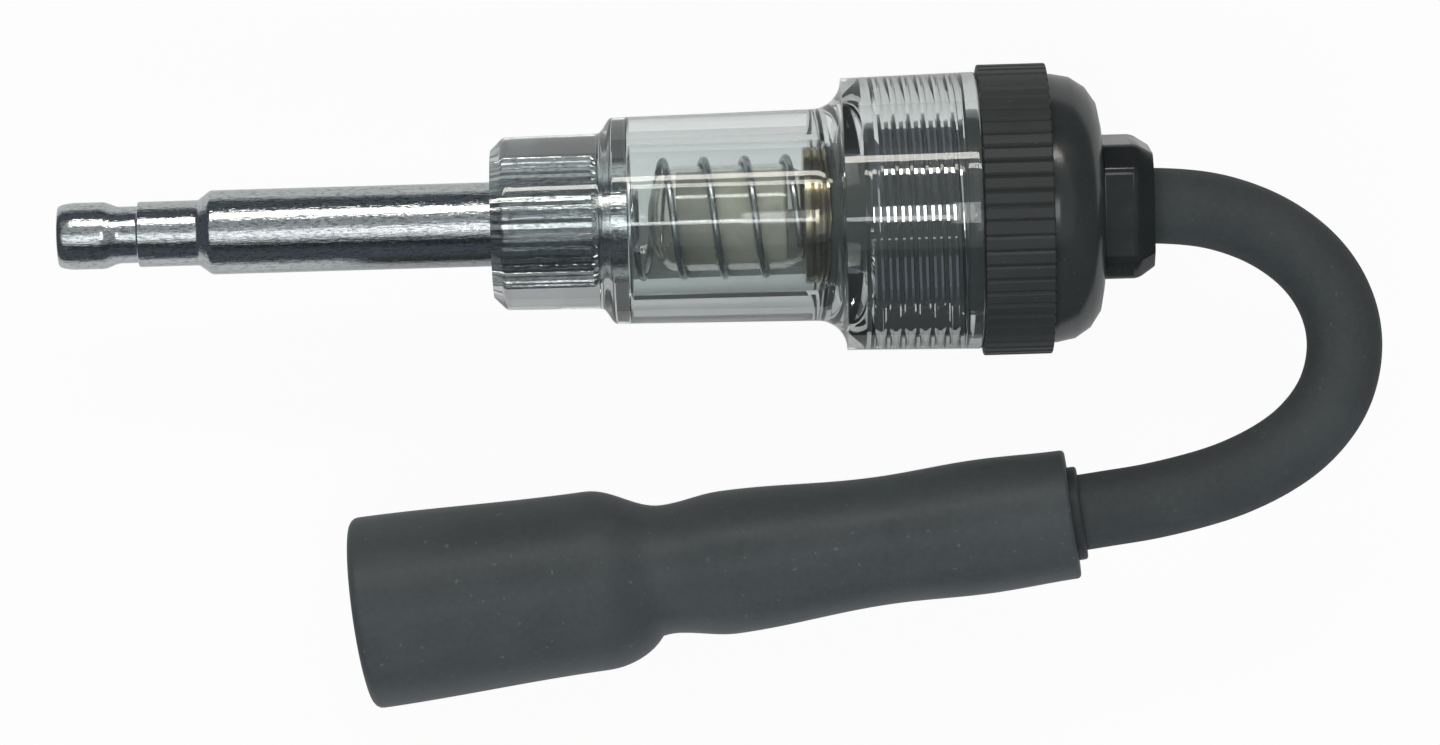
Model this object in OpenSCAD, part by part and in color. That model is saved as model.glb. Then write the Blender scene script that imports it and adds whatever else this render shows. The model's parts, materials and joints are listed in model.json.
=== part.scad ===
// In-line ignition spark tester: a clear lamp housing on a steel terminal rod, a black screw cap,
// and a short ignition lead that loops back to a rubber plug boot.
// The tester lies on its side. X runs along its axis, from the rod's tip to the lead's exit.
// The origin is under the middle of the straight body, on the surface it lies on. Sizes are in mm.

/* [Terminal rod] */
// Diameter of the snap head that takes a plug lead
head_d = 6.35; // [6:0.05:7]
// How far the head draws in towards its front face, on the radius
tip_drop = 0.42; // [0.2:0.02:0.8]
// Length of the head, up to its groove
head_len = 5.9; // [5:0.1:7]
// Length of the straight land round the head
head_land = 2.4; // [1.5:0.1:3.5]
// Depth of the snap groove behind the head
snap_depth = 0.48; // [0.2:0.02:0.8]
// Length of the snap groove
snap_len = 1.7; // [1:0.1:2.5]
// Diameter of the neck behind the groove
neck_d = 6.2; // [5.9:0.1:7]
// Length of the neck
neck_len = 5.7; // [4:0.1:9]
// Diameter of the rod
rod_d = 8; // [7:0.1:9.5]
// Length of the cone from the neck to the rod
cone_len = 1.2; // [0.6:0.1:3]
// Length of plain rod outside the housing
rod_out_len = 26.7; // [15:0.1:40]
// How far the knurl's teeth stand above the rod
knurl_rise = 0.2; // [0.1:0.05:0.4]
// Depth of the knurl's grooves
knurl_depth = 0.4; // [0.2:0.05:0.6]
// Number of knurl teeth
knurl_teeth = 36; // [24:1:48]
// Length of the knurled stretch held in the housing
knurl_len = 8.8; // [5:0.1:9.5]
// Plain length between the housing's face and the knurl
knurl_inset = 0.8; // [0.6:0.1:2.2]
// Diameter of the riveted spigot at the rod's inner end
rivet_d = 4.8; // [3:0.1:6]
// How far the peened head stands out round its spigot
rivet_lip = 0.8; // [0.4:0.1:1.2]
// Thickness of the peened head
rivet_head_t = 0.7; // [0.5:0.1:1.2]

/* [Clear housing] */
// Diameter of the front collar round the rod
front_d = 16.4; // [13:0.1:19]
// Length of the front collar
front_len = 10.2; // [10:0.1:13]
// Bevel of the front edge
front_bevel = 1.2; // [0.5:0.1:2.5]
// Length of the flare from the front collar to the barrel
flare_len = 1.4; // [1:0.1:4]
// Diameter of the lamp barrel at its front
barrel_d = 19.6; // [17:0.1:23]
// Length of the lamp barrel
barrel_len = 19; // [17:0.1:24]
// Length of the cove from the barrel to the socket
swell_len = 2.8; // [2:0.1:5]
// Diameter of the threaded socket at its front
socket_d = 25.8; // [23:0.1:30]
// Length of the threaded socket
socket_len = 12.8; // [12:0.1:16]
// Growth in diameter along each straight stretch, that lets the moulding leave its tool
draft = 0.5; // [0:0.1:0.8]
// Diameter of the lamp chamber
chamber_d = 14.4; // [13.4:0.1:16]
// Distance of the chamber's front wall behind the flare
chamber_inset = 1.3; // [0.5:0.1:2.5]
// Length of the funnel from the chamber out to the thread
funnel_len = 2.2; // [1.6:0.1:3]
// Gap round the rod in its seat
seat_gap = 0.02; // [0.01:0.01:0.05]

/* [Screw thread] */
// Advance of the thread for each turn
thread_pitch = 1.4; // [1.2:0.05:1.7]
// How far the roots of the housing's thread lie outside the chamber's wall
thread_step = 2.25; // [1.9:0.05:2.8]
// Width that a flank loses on one side for each unit of its height
flank_slope = 0.5; // [0.35:0.05:0.6]
// Gap between the two threads, across the radius
thread_gap = 0.15; // [0.12:0.01:0.25]
// Gap between the two threads, along the axis on each flank
flank_gap = 0.12; // [0.08:0.01:0.16]
// Length of plain bore behind the thread, at the open end
relief_len = 1.5; // [1:0.1:2.5]
// How far the plain bore clears the thread's roots
relief_step = 0.3; // [0.1:0.05:0.5]

/* [Screw cap] */
// Diameter of the ribbed grip ring
grip_d = 27.6; // [26.6:0.1:32]
// Length of the grip ring
grip_len = 6.5; // [4:0.1:10]
// Number of grooves round the grip ring
grip_grooves = 60; // [40:4:80]
// Depth of the grip grooves
groove_depth = 0.25; // [0.15:0.05:0.4]
// Share of each rib's step that the groove takes
groove_share = 0.35; // [0.2:0.05:0.5]
// Diameter of the dome behind the grip ring
dome_d = 25.5; // [22:0.1:26.5]
// Length of the dome
dome_len = 5; // [3:0.1:8]
// Rounding of the dome's edge
dome_round = 4.5; // [2:0.1:6]
// Length of the threaded spigot inside the socket
spigot_len = 10.7; // [9:0.1:12]
// Length of the lamp nose in front of the spigot
nose_len = 2.6; // [2:0.1:4]
// Gap between the lamp nose and the chamber's wall
nose_gap = 0.4; // [0.3:0.05:0.6]
// Gap between the front of the spigot and the end of the chamber
spigot_gap = 0.3; // [0.2:0.1:1]
// Gap between the grip ring and the rim of the housing
rim_gap = 0.1; // [0.05:0.01:0.3]

/* [Lamp] */
// Gap between the glass tip and the rivet in front of it
tip_gap = 0.8; // [0.5:0.1:3]
// Length of the rounded glass tip
glass_tip_len = 2.8; // [2:0.1:4.5]
// Thickness of the glass
glass_wall = 0.4; // [0.3:0.05:0.8]
// How far the glass draws in to its neck
neck_step = 0.9; // [0.5:0.1:1.2]
// Length of the glass shoulder in front of the base
shoulder_len = 1.6; // [1:0.1:2.5]
// Gap between glass or insulator and the base shell
base_gap = 0.05; // [0.02:0.01:0.1]
// Thickness of the base shell
shell_t = 0.4; // [0.3:0.05:0.6]
// How far the base flange stands out past the spring
flange_lip = 0.6; // [0:0.05:0.7]
// Length of the base flange
flange_len = 3.4; // [2:0.1:4]
// Gap between the tubular electrode and the glass
cathode_gap = 0.2; // [0.15:0.05:0.6]
// Thickness of the tubular electrode
cathode_t = 0.3; // [0.2:0.05:0.4]
// Diameter of the centre electrode
anode_d = 1.2; // [0.8:0.1:1.6]
// Gap between the centre electrode and the end disc of the tubular one
anode_gap = 0.25; // [0.15:0.05:0.4]
// How far the centre electrode reaches into the tubular one
anode_reach = 5; // [3:0.1:7]
// Diameter of the support wires
support_d = 0.7; // [0.5:0.1:0.9]
// Distance of the glass stem behind the front of the base flange
stem_inset = 2.2; // [1.6:0.1:3]
// Length of the glass stem that carries the electrodes
stem_len = 4; // [3:0.1:5]
// Length of the stem's rounded front
stem_cone_len = 1.2; // [0.6:0.1:2]
// Length of the base insulator
insulator_len = 3.2; // [2.6:0.1:4]
// Length of the insulator that the base shell holds
insulator_grip = 2.4; // [1.5:0.1:2.5]
// Diameter of the contact button
button_d = 3.2; // [2.4:0.1:4]
// Height of the contact button
button_h = 0.8; // [0.5:0.1:1.2]

/* [Contact spring] */
// Diameter of the spring wire
wire_d = 0.7; // [0.5:0.05:0.9]
// Gap between the spring and the chamber's wall
coil_gap = 1.3; // [1:0.1:1.6]
// Gap between the spring and the lamp's glass
glass_gap = 0.2; // [0.15:0.05:0.5]
// Turns of the spring from end to end
spring_turns = 4; // [3:0.1:6]
// Angle about the axis at which the wire starts, from its lowest point
spring_start = 210; // [0:5:355]
// Thickness of the contact washer under the spring
washer_t = 0.4; // [0.3:0.1:1]
// Gap round the contact washer, at its rim, its hole and under the rivet
washer_gap = 0.1; // [0.05:0.01:0.2]

/* [Lead] */
// Diameter of the ignition lead
lead_d = 7.2; // [6.6:0.1:8]
// Gap between the lead and what it runs through
lead_gap = 0.1; // [0.06:0.01:0.2]
// Diameter of the lead's conductor
core_d = 2.4; // [1.6:0.1:3]
// Gap round the conductor in its crimp
core_gap = 0.02; // [0.01:0.01:0.05]
// Width of the square collar, across its flats
collar_w = 12.8; // [11:0.1:15]
// Length of the collar
collar_len = 4.7; // [3:0.1:7]
// How far the collar's four corners are cut back along each side
collar_corner = 2.1; // [0.5:0.1:3]
// Length of the bevel round the collar's outer end
collar_bevel = 1.6; // [0.5:0.1:2.5]
// How far that bevel draws each side in
collar_draw = 1; // [0.3:0.1:1.4]
// Angle that the collar is turned by about the axis
collar_turn = 9; // [0:1:45]
// End play of the collar behind the cap
collar_play = 0.1; // [0.05:0.01:0.3]
// Gap between the lamp's base and its bore in the cap
bore_gap = 0.25; // [0.15:0.05:0.5]
// Gap between the lead terminal's disc and its bore
disc_gap = 0.2; // [0.1:0.05:0.4]
// Thickness of the lead terminal's disc
disc_t = 1.2; // [0.8:0.1:2]
// Diameter of the terminal's contact stud
stud_d = 4; // [3:0.1:6]
// Length of the terminal's contact stud
stud_len = 1.8; // [1:0.1:3]
// Depth of the lead terminal's crimp socket
crimp_len = 4; // [3:0.1:5]
// Thickness of a crimp socket
crimp_t = 0.5; // [0.3:0.05:0.6]

/* [Plug boot] */
// Radius of the boot at its mouth
mouth_r = 9.2; // [8:0.1:11]
// Radius of the skirt where it meets the shoulder
skirt_r = 8.6; // [7.8:0.1:10]
// Length of the skirt
skirt_len = 22.7; // [16:0.1:26]
// Length of the shoulder between the skirt and the waist
shoulder_run = 7.1; // [5:0.1:9]
// Radius of the waist
waist_r = 6.3; // [5.6:0.05:7.5]
// Length from the waist to the swell over the terminal
waist_len = 5.7; // [4:0.1:8]
// Radius of the swell over the terminal
swell_r = 6.85; // [6:0.05:8]
// Length from the swell to the dip behind the terminal
swell_run = 15; // [10:0.1:20]
// Radius of the dip behind the terminal
dip_r = 6.1; // [5.6:0.05:7.5]
// Length from the dip to the tail's swell
dip_run = 9.5; // [6:0.1:12]
// Radius of the tail's swell over the sleeve
tail_r = 6.4; // [5.8:0.05:7.5]
// Length from the tail's swell to the end of the boot
tail_len = 8.5; // [6:0.1:12]
// Radius of the boot at the lead's end
end_r = 6.15; // [5.6:0.05:7.5]
// Turn of the boot, seen from above, away from the tester's axis
boot_yaw = 6.45; // [4:0.05:9]
// Radius of the cavity that takes the plug's insulator
cavity_r = 6; // [5:0.1:6.6]
// How far that cavity reaches past the skirt
cavity_reach = 2.5; // [1:0.1:4]
// Length of the cone at the bottom of the cavity
cavity_cone = 1; // [0.5:0.1:2]
// Rounding of the mouth's rim
mouth_round = 0.8; // [0.3:0.1:1.2]
// Length of rubber between the cavity and the snap terminal
terminal_inset = 2; // [1:0.1:4]
// Inside radius of the snap terminal
socket_r = 3.2; // [3:0.05:3.6]
// Thickness of the snap terminal
socket_t = 1; // [0.9:0.05:1.2]
// Length of the snap terminal's socket
plug_socket_len = 11; // [9.5:0.1:13]
// Length of the cone behind that socket
socket_cone = 1.5; // [1:0.1:2]
// Length of the snap terminal's crimp barrel
barrel_crimp_len = 7; // [5:0.1:9]
// Width of the slots in the snap terminal
slot_w = 1.2; // [0.8:0.1:1.6]
// Length of the slots in the snap terminal
slot_len = 7; // [5:0.1:8]
// Diameter of the snap ring's wire
ring_wire_d = 0.6; // [0.4:0.05:0.7]
// Gap between the snap ring and its groove
ring_gap = 0.05; // [0.03:0.01:0.08]
// Angle of the opening in the snap ring
ring_open = 40; // [20:5:90]
// Distance of the snap ring from the terminal's mouth
ring_inset = 3.5; // [2:0.1:5]
// Thickness of the sleeve between lead and boot
sleeve_t = 0.75; // [0.5:0.05:0.9]
// Length of the sleeve
sleeve_len = 16; // [10:0.5:20]
// How far the sleeve stands out of the boot
sleeve_out = 0.9; // [0.4:0.1:2]
// Gap between the boot and the pieces inside it
boot_gap = 0.05; // [0.03:0.01:0.1]

/* [Hidden] */
$fn = 64;
// Small chamfer on turned edges, and small gap between stacked pieces
edge = 0.3;
play = 0.1;

// Distances along the axis, from the tip of the rod
s_snap = head_len;
s_neck = s_snap + snap_len;
s_cone = s_neck + neck_len;
s_rod = s_cone + cone_len;
s_face = s_rod + rod_out_len;
s_knurl = s_face + knurl_inset;
s_knurl_end = s_knurl + knurl_len;
s_flare = s_face + front_len;
s_barrel = s_flare + flare_len;
s_swell = s_barrel + barrel_len;
s_socket = s_swell + swell_len;
s_rim = s_socket + socket_len;
s_grip = s_rim + rim_gap;
s_dome = s_grip + grip_len;
s_back = s_dome + dome_len;
s_collar = s_back + collar_play;
s_exit = s_collar + collar_len;
body_len = s_exit;
axis_h = max(grip_d, socket_d + draft) / 2;

// Inside the housing
s_chamber = s_barrel + chamber_inset;
s_washer = s_chamber + washer_t;
s_rivet_end = s_washer + rivet_head_t;
s_spigot = s_grip - spigot_len;
s_nose = s_spigot - nose_len;
s_flange = s_nose - flange_len;
s_step = s_spigot - spigot_gap;
s_funnel = s_step - funnel_len;
s_relief = s_rim - relief_len;
knurl_r = rod_d / 2 + knurl_rise;
chamber_r = chamber_d / 2;
nose_r = chamber_r - nose_gap;

// Screw thread: the cap's ridge fits the housing's groove with a gap all round
thread_sides = 24;
thread_r = chamber_r + thread_step;
thread_depth = thread_pitch / 2;
crest_half = thread_pitch / 14;
minor_r = thread_r - thread_depth;
cap_crest_r = thread_r - thread_gap;
cap_root_r = minor_r - thread_gap;
relief_r = thread_r + relief_step;
thread_start = s_spigot + thread_pitch / 2;
cap_turns = (s_relief - thread_start) / thread_pitch - 0.2;
lead_in_turns = 0.4;
run_out_turns = 0.8;

// Contact spring
wire_r = wire_d / 2;
coil_r = chamber_r - coil_gap - wire_r;
coil_rings = 20;
coil_sides = 6;
spring_from = s_washer + wire_r;
spring_to = s_flange - wire_r;
spring_pitch = (spring_to - spring_from) / spring_turns;

// Lamp, inside the spring and the cap
glass_r = coil_r - wire_r - glass_gap;
glass_neck_r = glass_r - neck_step;
glass_bore_r = glass_neck_r - glass_wall;
shell_in_r = glass_neck_r + base_gap;
shell_r = shell_in_r + shell_t;
flange_r = coil_r + wire_r + flange_lip;
cathode_r = glass_r - glass_wall - cathode_gap;
lamp_bore_r = shell_r + bore_gap;
disc_r = lamp_bore_r - disc_gap;
s_glass_tip = s_rivet_end + tip_gap;
s_shoulder = s_flange - shoulder_len;
s_cathode_end = s_shoulder - play;
s_stem = s_flange + stem_inset;
s_stem_end = s_stem + stem_len;
s_insulator = s_stem_end + play;
s_shell_end = s_insulator + insulator_grip;
s_button = s_insulator + insulator_len;
s_contact = s_button + button_h;
s_disc = s_contact + stud_len;
s_seat = s_disc + disc_t;
s_crimp_end = s_seat + crimp_len;
s_lead_end = s_crimp_end + play;

// Route of the lead's middle, from its exit at the collar to the boot's sleeve
route = [
    [0, 0], [2.9, -0.2], [5.6, -0.6], [8.2, -1.4], [10.7, -2.5], [13, -4], [15, -5.8], [16.6, -8],
    [17.7, -10.6], [18.1, -13.3], [17.8, -16], [16.9, -18.6], [15.4, -20.8], [13.4, -22.8], [11.1, -24.3],
    [8.7, -25.5], [6.1, -26.5], [3.5, -27.2], [0.8, -27.8], [-1.9, -28.3], [-4.6, -28.6], [-7.4, -29]
];
route_at = [body_len / 2, 0, axis_h];
lead_r = lead_d / 2;
lead_sides = 12;
lead_bore_r = lead_r + lead_gap;

// Distances along the boot, from the sleeve's outer end to the mouth
w_tail = sleeve_out + tail_len;
w_dip = w_tail + dip_run;
w_swell = w_dip + swell_run;
w_waist = w_swell + waist_len;
w_skirt = w_waist + shoulder_run;
w_mouth = w_skirt + skirt_len;
w_cavity = w_skirt - cavity_reach;
w_terminal = w_cavity - terminal_inset;
w_socket = w_terminal - plug_socket_len;
w_crimp = w_socket - barrel_crimp_len;
w_lead_end = w_crimp - play;
w_ring = w_terminal - ring_inset;
boot_keys = [
    [sleeve_out, end_r], [w_tail, tail_r], [w_dip, dip_r], [w_swell, swell_r],
    [w_waist, waist_r], [w_skirt, skirt_r], [w_mouth, mouth_r]
];
boot_at = route_at + [route[len(route) - 1][0], route[len(route) - 1][1], 0];
boot_pitch = asin((axis_h - mouth_r) / w_mouth);
boot_dir = [-cos(boot_yaw) * cos(boot_pitch), -sin(boot_yaw) * cos(boot_pitch), -sin(boot_pitch)];
sleeve_r = lead_bore_r + sleeve_t;
terminal_r = socket_r + socket_t;
core_r = core_d / 2;
crimp_r = core_r + crimp_t;

// Points of an arc about [x, y]
function arc(x, y, r, from, to, n = 8) =
    [for (i = [0 : n]) let (a = from + (to - from) * i / n) [x + r * cos(a), y + r * sin(a)]];
// Points of a quarter of an ellipse, from one [radius, distance] point to another, square to the axis first
function crown(a, b, n = 8) = [
    for (i = [0 : n]) let (t = 90 * i / n)
        [a[0] + (b[0] - a[0]) * sin(t), a[1] + (b[1] - a[1]) * (1 - cos(t))]
];
// Points that ease from each [distance, radius] key to the next, as [radius, distance]
function eased(keys, n = 6) = [
    for (k = [0 : len(keys) - 2]) for (i = [k == 0 ? 0 : 1 : n])
        let (t = i / n, rise = (1 - cos(180 * t)) / 2)
        [keys[k][1] + (keys[k + 1][1] - keys[k][1]) * rise, keys[k][0] + (keys[k + 1][0] - keys[k][0]) * t]
];
function reversed(list) = [for (i = [len(list) - 1 : -1 : 0]) list[i]];
function total(list) = len(list) == 0 ? 0 : list * [for (i = list) 1];
function unit(v) = v / norm(v);
// Half of the ridge's width at a radius
function half_width(r) = crest_half + (cap_crest_r - r) * flank_slope;

// Places a shape whose Z runs along the tester, from the rod's tip
module on_axis() {
    translate([-body_len / 2, 0, axis_h]) rotate([0, 90, 0]) children();
}
// Places a shape whose Z runs from the sleeve's outer end to the boot's mouth
module on_boot() {
    translate(boot_at) rotate([0, 90 + boot_pitch, 180 + boot_yaw]) children();
}
// A turned shape from its outline of [radius, distance] points
module turned(points) {
    rotate_extrude() polygon(points);
}
// A closed tube whose rings of points are given one after another
module skin(rings) {
    m = len(rings[0]);
    n = len(rings);
    end = (n - 1) * m;
    sides = [
        for (i = [0 : n - 2]) for (j = [0 : m - 1])
            let (a = i * m + j, b = i * m + (j + 1) % m) each [[a, a + m, b], [b, a + m, b + m]]
    ];
    first = [for (j = [1 : m - 2]) [0, j, j + 1]];
    last = [for (j = [1 : m - 2]) [end, end + j + 1, end + j]];
    polyhedron([for (ring = rings) each ring], [each sides, each first, each last], convexity = 10);
}
// A screw ridge between two turns, with its radius and half-width at its foot and at its top
module ridge(foot_r, foot_half, top_r, top_half, from, to) {
    steps = ceil((to - from) * thread_sides);
    skin([
        for (i = [0 : steps])
            let (
                turn = from + (to - from) * i / steps,
                out = [cos(360 * turn), sin(360 * turn), 0],
                z = [0, 0, thread_start + thread_pitch * turn]
            )
            [
                foot_r * out + z + [0, 0, foot_half], top_r * out + z + [0, 0, top_half],
                top_r * out + z - [0, 0, top_half], foot_r * out + z - [0, 0, foot_half]
            ]
    ]);
}

// Steel rod with the snap head, knurled where the housing grips it and riveted over the washer
module terminal_rod() {
    head_r = head_d / 2;
    rod_r = rod_d / 2;
    bulge = (head_len - head_land) / 2;
    snap_r = head_r - snap_depth;
    rivet_r = rivet_d / 2;
    rivet_head_r = rivet_r + rivet_lip;
    color("#c8ccd0") on_axis() union() {
        turned(concat(
            [[0, 0]],
            crown([head_r - tip_drop, 0], [head_r, bulge], 5),
            eased([[bulge + head_land, head_r], [s_snap, snap_r]]),
            [
                [snap_r, s_neck], [neck_d / 2, s_neck], [neck_d / 2, s_cone], [rod_r, s_rod],
                [rod_r, s_chamber], [rivet_r, s_chamber], [rivet_r, s_washer + washer_gap],
                [rivet_head_r, s_washer + washer_gap], [rivet_head_r - edge, s_rivet_end], [0, s_rivet_end]
            ]
        ));
        translate([0, 0, s_knurl]) linear_extrude(knurl_len) polygon([
            for (i = [0 : knurl_teeth - 1]) for (half = [0, 1])
                let (a = 360 * (i + half / 2) / knurl_teeth, r = knurl_r - half * knurl_depth)
                [r * cos(a), r * sin(a)]
        ]);
    }
}

// Clear moulded housing: the rod's seat, the lamp chamber and the threaded socket
module clear_housing() {
    front_r = front_d / 2;
    barrel_r = barrel_d / 2;
    mouth_in_r = socket_d / 2;
    grown = draft / 2;
    seat_r = rod_d / 2 + seat_gap;
    knurl_seat_r = knurl_r + seat_gap;
    color("#dfe3e2", 0.4) on_axis() difference() {
        turned(concat(
            [[seat_r, s_face], [front_r - front_bevel, s_face], [front_r, s_face + front_bevel]],
            eased([[s_flare, front_r + grown / 2], [s_barrel, barrel_r]]),
            reversed(crown([mouth_in_r, s_socket], [barrel_r + grown, s_swell])),
            [
                [mouth_in_r + grown, s_rim], [relief_r, s_rim], [relief_r, s_relief], [minor_r, s_relief],
                [minor_r, s_step], [chamber_r, s_funnel], [chamber_r, s_chamber], [seat_r, s_chamber],
                [seat_r, s_knurl_end + play], [knurl_seat_r, s_knurl_end + play],
                [knurl_seat_r, s_knurl - play], [seat_r, s_knurl - play]
            ]
        ));
        ridge(
            cap_root_r, half_width(cap_root_r) + flank_gap, thread_r, half_width(thread_r) + flank_gap,
            -lead_in_turns, cap_turns + run_out_turns
        );
    }
}

// Plated washer that carries current from the rod to the spring
module contact_washer() {
    hole_r = rivet_d / 2 + washer_gap;
    rim_r = chamber_r - washer_gap;
    color("#c9a24a") on_axis() turned([
        [hole_r, s_chamber], [rim_r, s_chamber], [rim_r, s_washer], [hole_r, s_washer]
    ]);
}

// Middle line of the spring's wire, wound open from end to end
spring_line = [
    for (i = [0 : spring_turns * coil_rings])
        let (turn = i / coil_rings, a = spring_start + 360 * turn)
        [coil_r * cos(a), coil_r * sin(a), spring_from + spring_pitch * turn]
];
spring_gap = min([
    for (i = [0 : len(spring_line) - 1]) for (j = [i + coil_rings / 2 : 1 : len(spring_line) - 1])
        norm(spring_line[j] - spring_line[i])
]) - wire_d;
echo(spring_gap = spring_gap);

// Compression spring round the lamp, between the washer and the lamp's flange
module lamp_spring() {
    color("#8c8f90") on_axis() skin([
        for (p = spring_line)
            let (out = unit([p[0], p[1], 0]))
            [for (k = [0 : coil_sides - 1])
                let (a = -360 * k / coil_sides) p + wire_r * (out * cos(a) + [0, 0, sin(a)])]
    ]);
}

// Glass envelope, rounded at the tip and drawn in to a neck inside the base
module lamp_glass() {
    bore_r = glass_r - glass_wall;
    tip_end = s_glass_tip + glass_tip_len;
    color("#ece6d2", 0.4) on_axis() turned(concat(
        crown([0, s_glass_tip], [glass_r, tip_end]),
        [
            [glass_r, s_shoulder], [glass_neck_r, s_flange], [glass_neck_r, s_stem_end],
            [glass_bore_r, s_stem_end], [glass_bore_r, s_flange + glass_wall], [bore_r, s_shoulder]
        ],
        reversed(crown([0, s_glass_tip + glass_wall], [bore_r, tip_end]))
    ));
}

// Glass stem that closes the neck and carries the electrodes
module lamp_stem() {
    stem_r = glass_bore_r - base_gap;
    color("#e8e8e4") on_axis() turned([
        [0, s_stem], [stem_r / 2, s_stem], [stem_r, s_stem + stem_cone_len],
        [stem_r, s_stem_end], [0, s_stem_end]
    ]);
}

// Tubular electrode on its end disc and support wires
module lamp_cathode() {
    front = s_glass_tip + glass_tip_len;
    hole_r = anode_d / 2 + anode_gap;
    disc_front = s_cathode_end - cathode_t;
    support_at = hole_r + support_d / 2;
    color("#b9a58c") on_axis() union() {
        turned([
            [cathode_r - cathode_t, front], [cathode_r, front], [cathode_r, s_cathode_end],
            [hole_r, s_cathode_end], [hole_r, disc_front], [cathode_r - cathode_t, disc_front]
        ]);
        for (side = [-1, 1])
            translate([side * support_at, 0, disc_front]) cylinder(h = s_stem - disc_front, d = support_d);
    }
}

// Centre electrode
module lamp_anode() {
    front = s_cathode_end - anode_reach;
    color("#77797b") on_axis() translate([0, 0, front]) cylinder(h = s_stem - front, d = anode_d);
}

// Plated base shell with the flange that the spring presses on
module lamp_shell() {
    color("#c3bda6") on_axis() turned([
        [shell_in_r, s_flange], [flange_r, s_flange], [flange_r, s_nose], [shell_r, s_nose],
        [shell_r, s_shell_end], [shell_in_r, s_shell_end]
    ]);
}

// Dark insulator that closes the base
module lamp_insulator() {
    color("#22211f") on_axis() turned([
        [0, s_insulator], [glass_neck_r, s_insulator], [glass_neck_r, s_shell_end],
        [button_d / 2 + edge, s_button], [0, s_button]
    ]);
}

// Soft metal contact button
module lamp_contact() {
    color("#b4b6b6") on_axis() turned(concat(
        reversed(crown([0, s_contact], [button_d / 2, s_button], 5)), [[0, s_button]]
    ));
}

// Black moulded cap: lamp nose, threaded spigot, ribbed grip ring and dome
module screw_cap() {
    grip_r = grip_d / 2;
    rib_foot_r = grip_r - groove_depth;
    round_r = min(dome_round, dome_len);
    shoulder_r = relief_r - thread_gap;
    s_shoulder_front = s_relief + play;
    step = 360 / grip_grooves;
    land = step * (1 - groove_share);
    color("#393d3e") on_axis() union() {
        turned(concat(
            [
                [lamp_bore_r, s_nose], [nose_r - edge, s_nose], [nose_r, s_nose + edge], [nose_r, s_spigot],
                [cap_root_r - edge, s_spigot], [cap_root_r, s_spigot + edge], [cap_root_r, s_shoulder_front],
                [shoulder_r, s_shoulder_front], [shoulder_r, s_grip], [rib_foot_r, s_grip],
                [rib_foot_r, s_dome], [dome_d / 2, s_dome]
            ],
            arc(dome_d / 2 - round_r, s_back - round_r, round_r, 0, 90, 10),
            [[lead_bore_r, s_back], [lead_bore_r, s_seat], [lamp_bore_r, s_seat]]
        ));
        ridge(cap_root_r - play, half_width(cap_root_r - play), cap_crest_r, crest_half, 0, cap_turns);
        translate([0, 0, s_grip]) linear_extrude(grip_len) difference() {
            polygon([
                for (i = [0 : grip_grooves - 1])
                    for (corner = [[grip_r, 0], [grip_r, land], [rib_foot_r, land], [rib_foot_r, step]])
                        let (a = i * step + corner[1]) [corner[0] * cos(a), corner[0] * sin(a)]
            ]);
            circle(r = shoulder_r);
        }
    }
}

// Brass end of the lead: a stud that meets the lamp, a disc that seats in the cap, a crimp socket
module lead_terminal() {
    stud_r = stud_d / 2;
    color("#b8923f") on_axis() turned([
        [0, s_contact], [stud_r - edge, s_contact], [stud_r, s_contact + edge], [stud_r, s_disc],
        [disc_r, s_disc], [disc_r, s_seat], [crimp_r, s_seat], [crimp_r, s_crimp_end],
        [core_r, s_crimp_end], [core_r, s_seat], [0, s_seat]
    ]);
}

// Stripped conductor at each end of the lead, inside its crimp
module lead_core() {
    color("#a9764a") {
        on_axis() translate([0, 0, s_seat]) cylinder(h = s_lead_end - s_seat, r = core_r - core_gap);
        on_boot() translate([0, 0, w_lead_end])
            cylinder(h = w_socket - w_lead_end, r = core_r - core_gap);
    }
}

// Square collar with cut corners, clamped on the lead behind the cap
module lead_collar() {
    half = collar_w / 2;
    flat = half - collar_corner;
    straight = collar_len - collar_bevel;
    outline = [
        for (side = [0 : 3]) for (end = [-1, 1])
            let (a = 90 * side + collar_turn)
            half * [cos(a), sin(a)] + end * flat * [-sin(a), cos(a)]
    ];
    color("#26292a") on_axis() translate([0, 0, s_collar]) difference() {
        union() {
            linear_extrude(straight) polygon(outline);
            translate([0, 0, straight])
                linear_extrude(collar_bevel, scale = 1 - collar_draw / half) polygon(outline);
        }
        translate([0, 0, -edge]) cylinder(h = collar_len + 2 * edge, r = lead_r + lead_gap / 2);
    }
}

// Middle line of the lead, from its crimp in the cap to its crimp in the boot
lead_line = concat(
    [route_at - [s_exit - s_lead_end, 0, 0]],
    [for (p = route) route_at + [p[0], p[1], 0]],
    [boot_at + boot_dir * w_lead_end]
);
lead_last = len(lead_line) - 1;
function lead_along(i) =
    i < 2 ? [1, 0, 0] : i > lead_last - 2 ? boot_dir : unit(lead_line[i + 1] - lead_line[i - 1]);
echo(lead_free_length = total([for (i = [1 : lead_last - 2]) norm(lead_line[i + 1] - lead_line[i])]));

// Rubber-covered ignition lead
module lead_jacket() {
    color("#434749") skin([
        for (i = [0 : lead_last])
            let (
                along = lead_along(i),
                side = unit(cross([0, 0, 1], along)),
                up = cross(along, side)
            )
            [for (k = [0 : lead_sides - 1])
                let (a = -360 * k / lead_sides) lead_line[i] + lead_r * (side * cos(a) + up * sin(a))]
    ]);
}

// Sleeve that packs the lead into the boot
module boot_sleeve() {
    color("#333738") on_boot() turned([
        [lead_bore_r, 0], [sleeve_r - edge, 0], [sleeve_r, edge],
        [sleeve_r, sleeve_len], [lead_bore_r, sleeve_len]
    ]);
}

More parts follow.
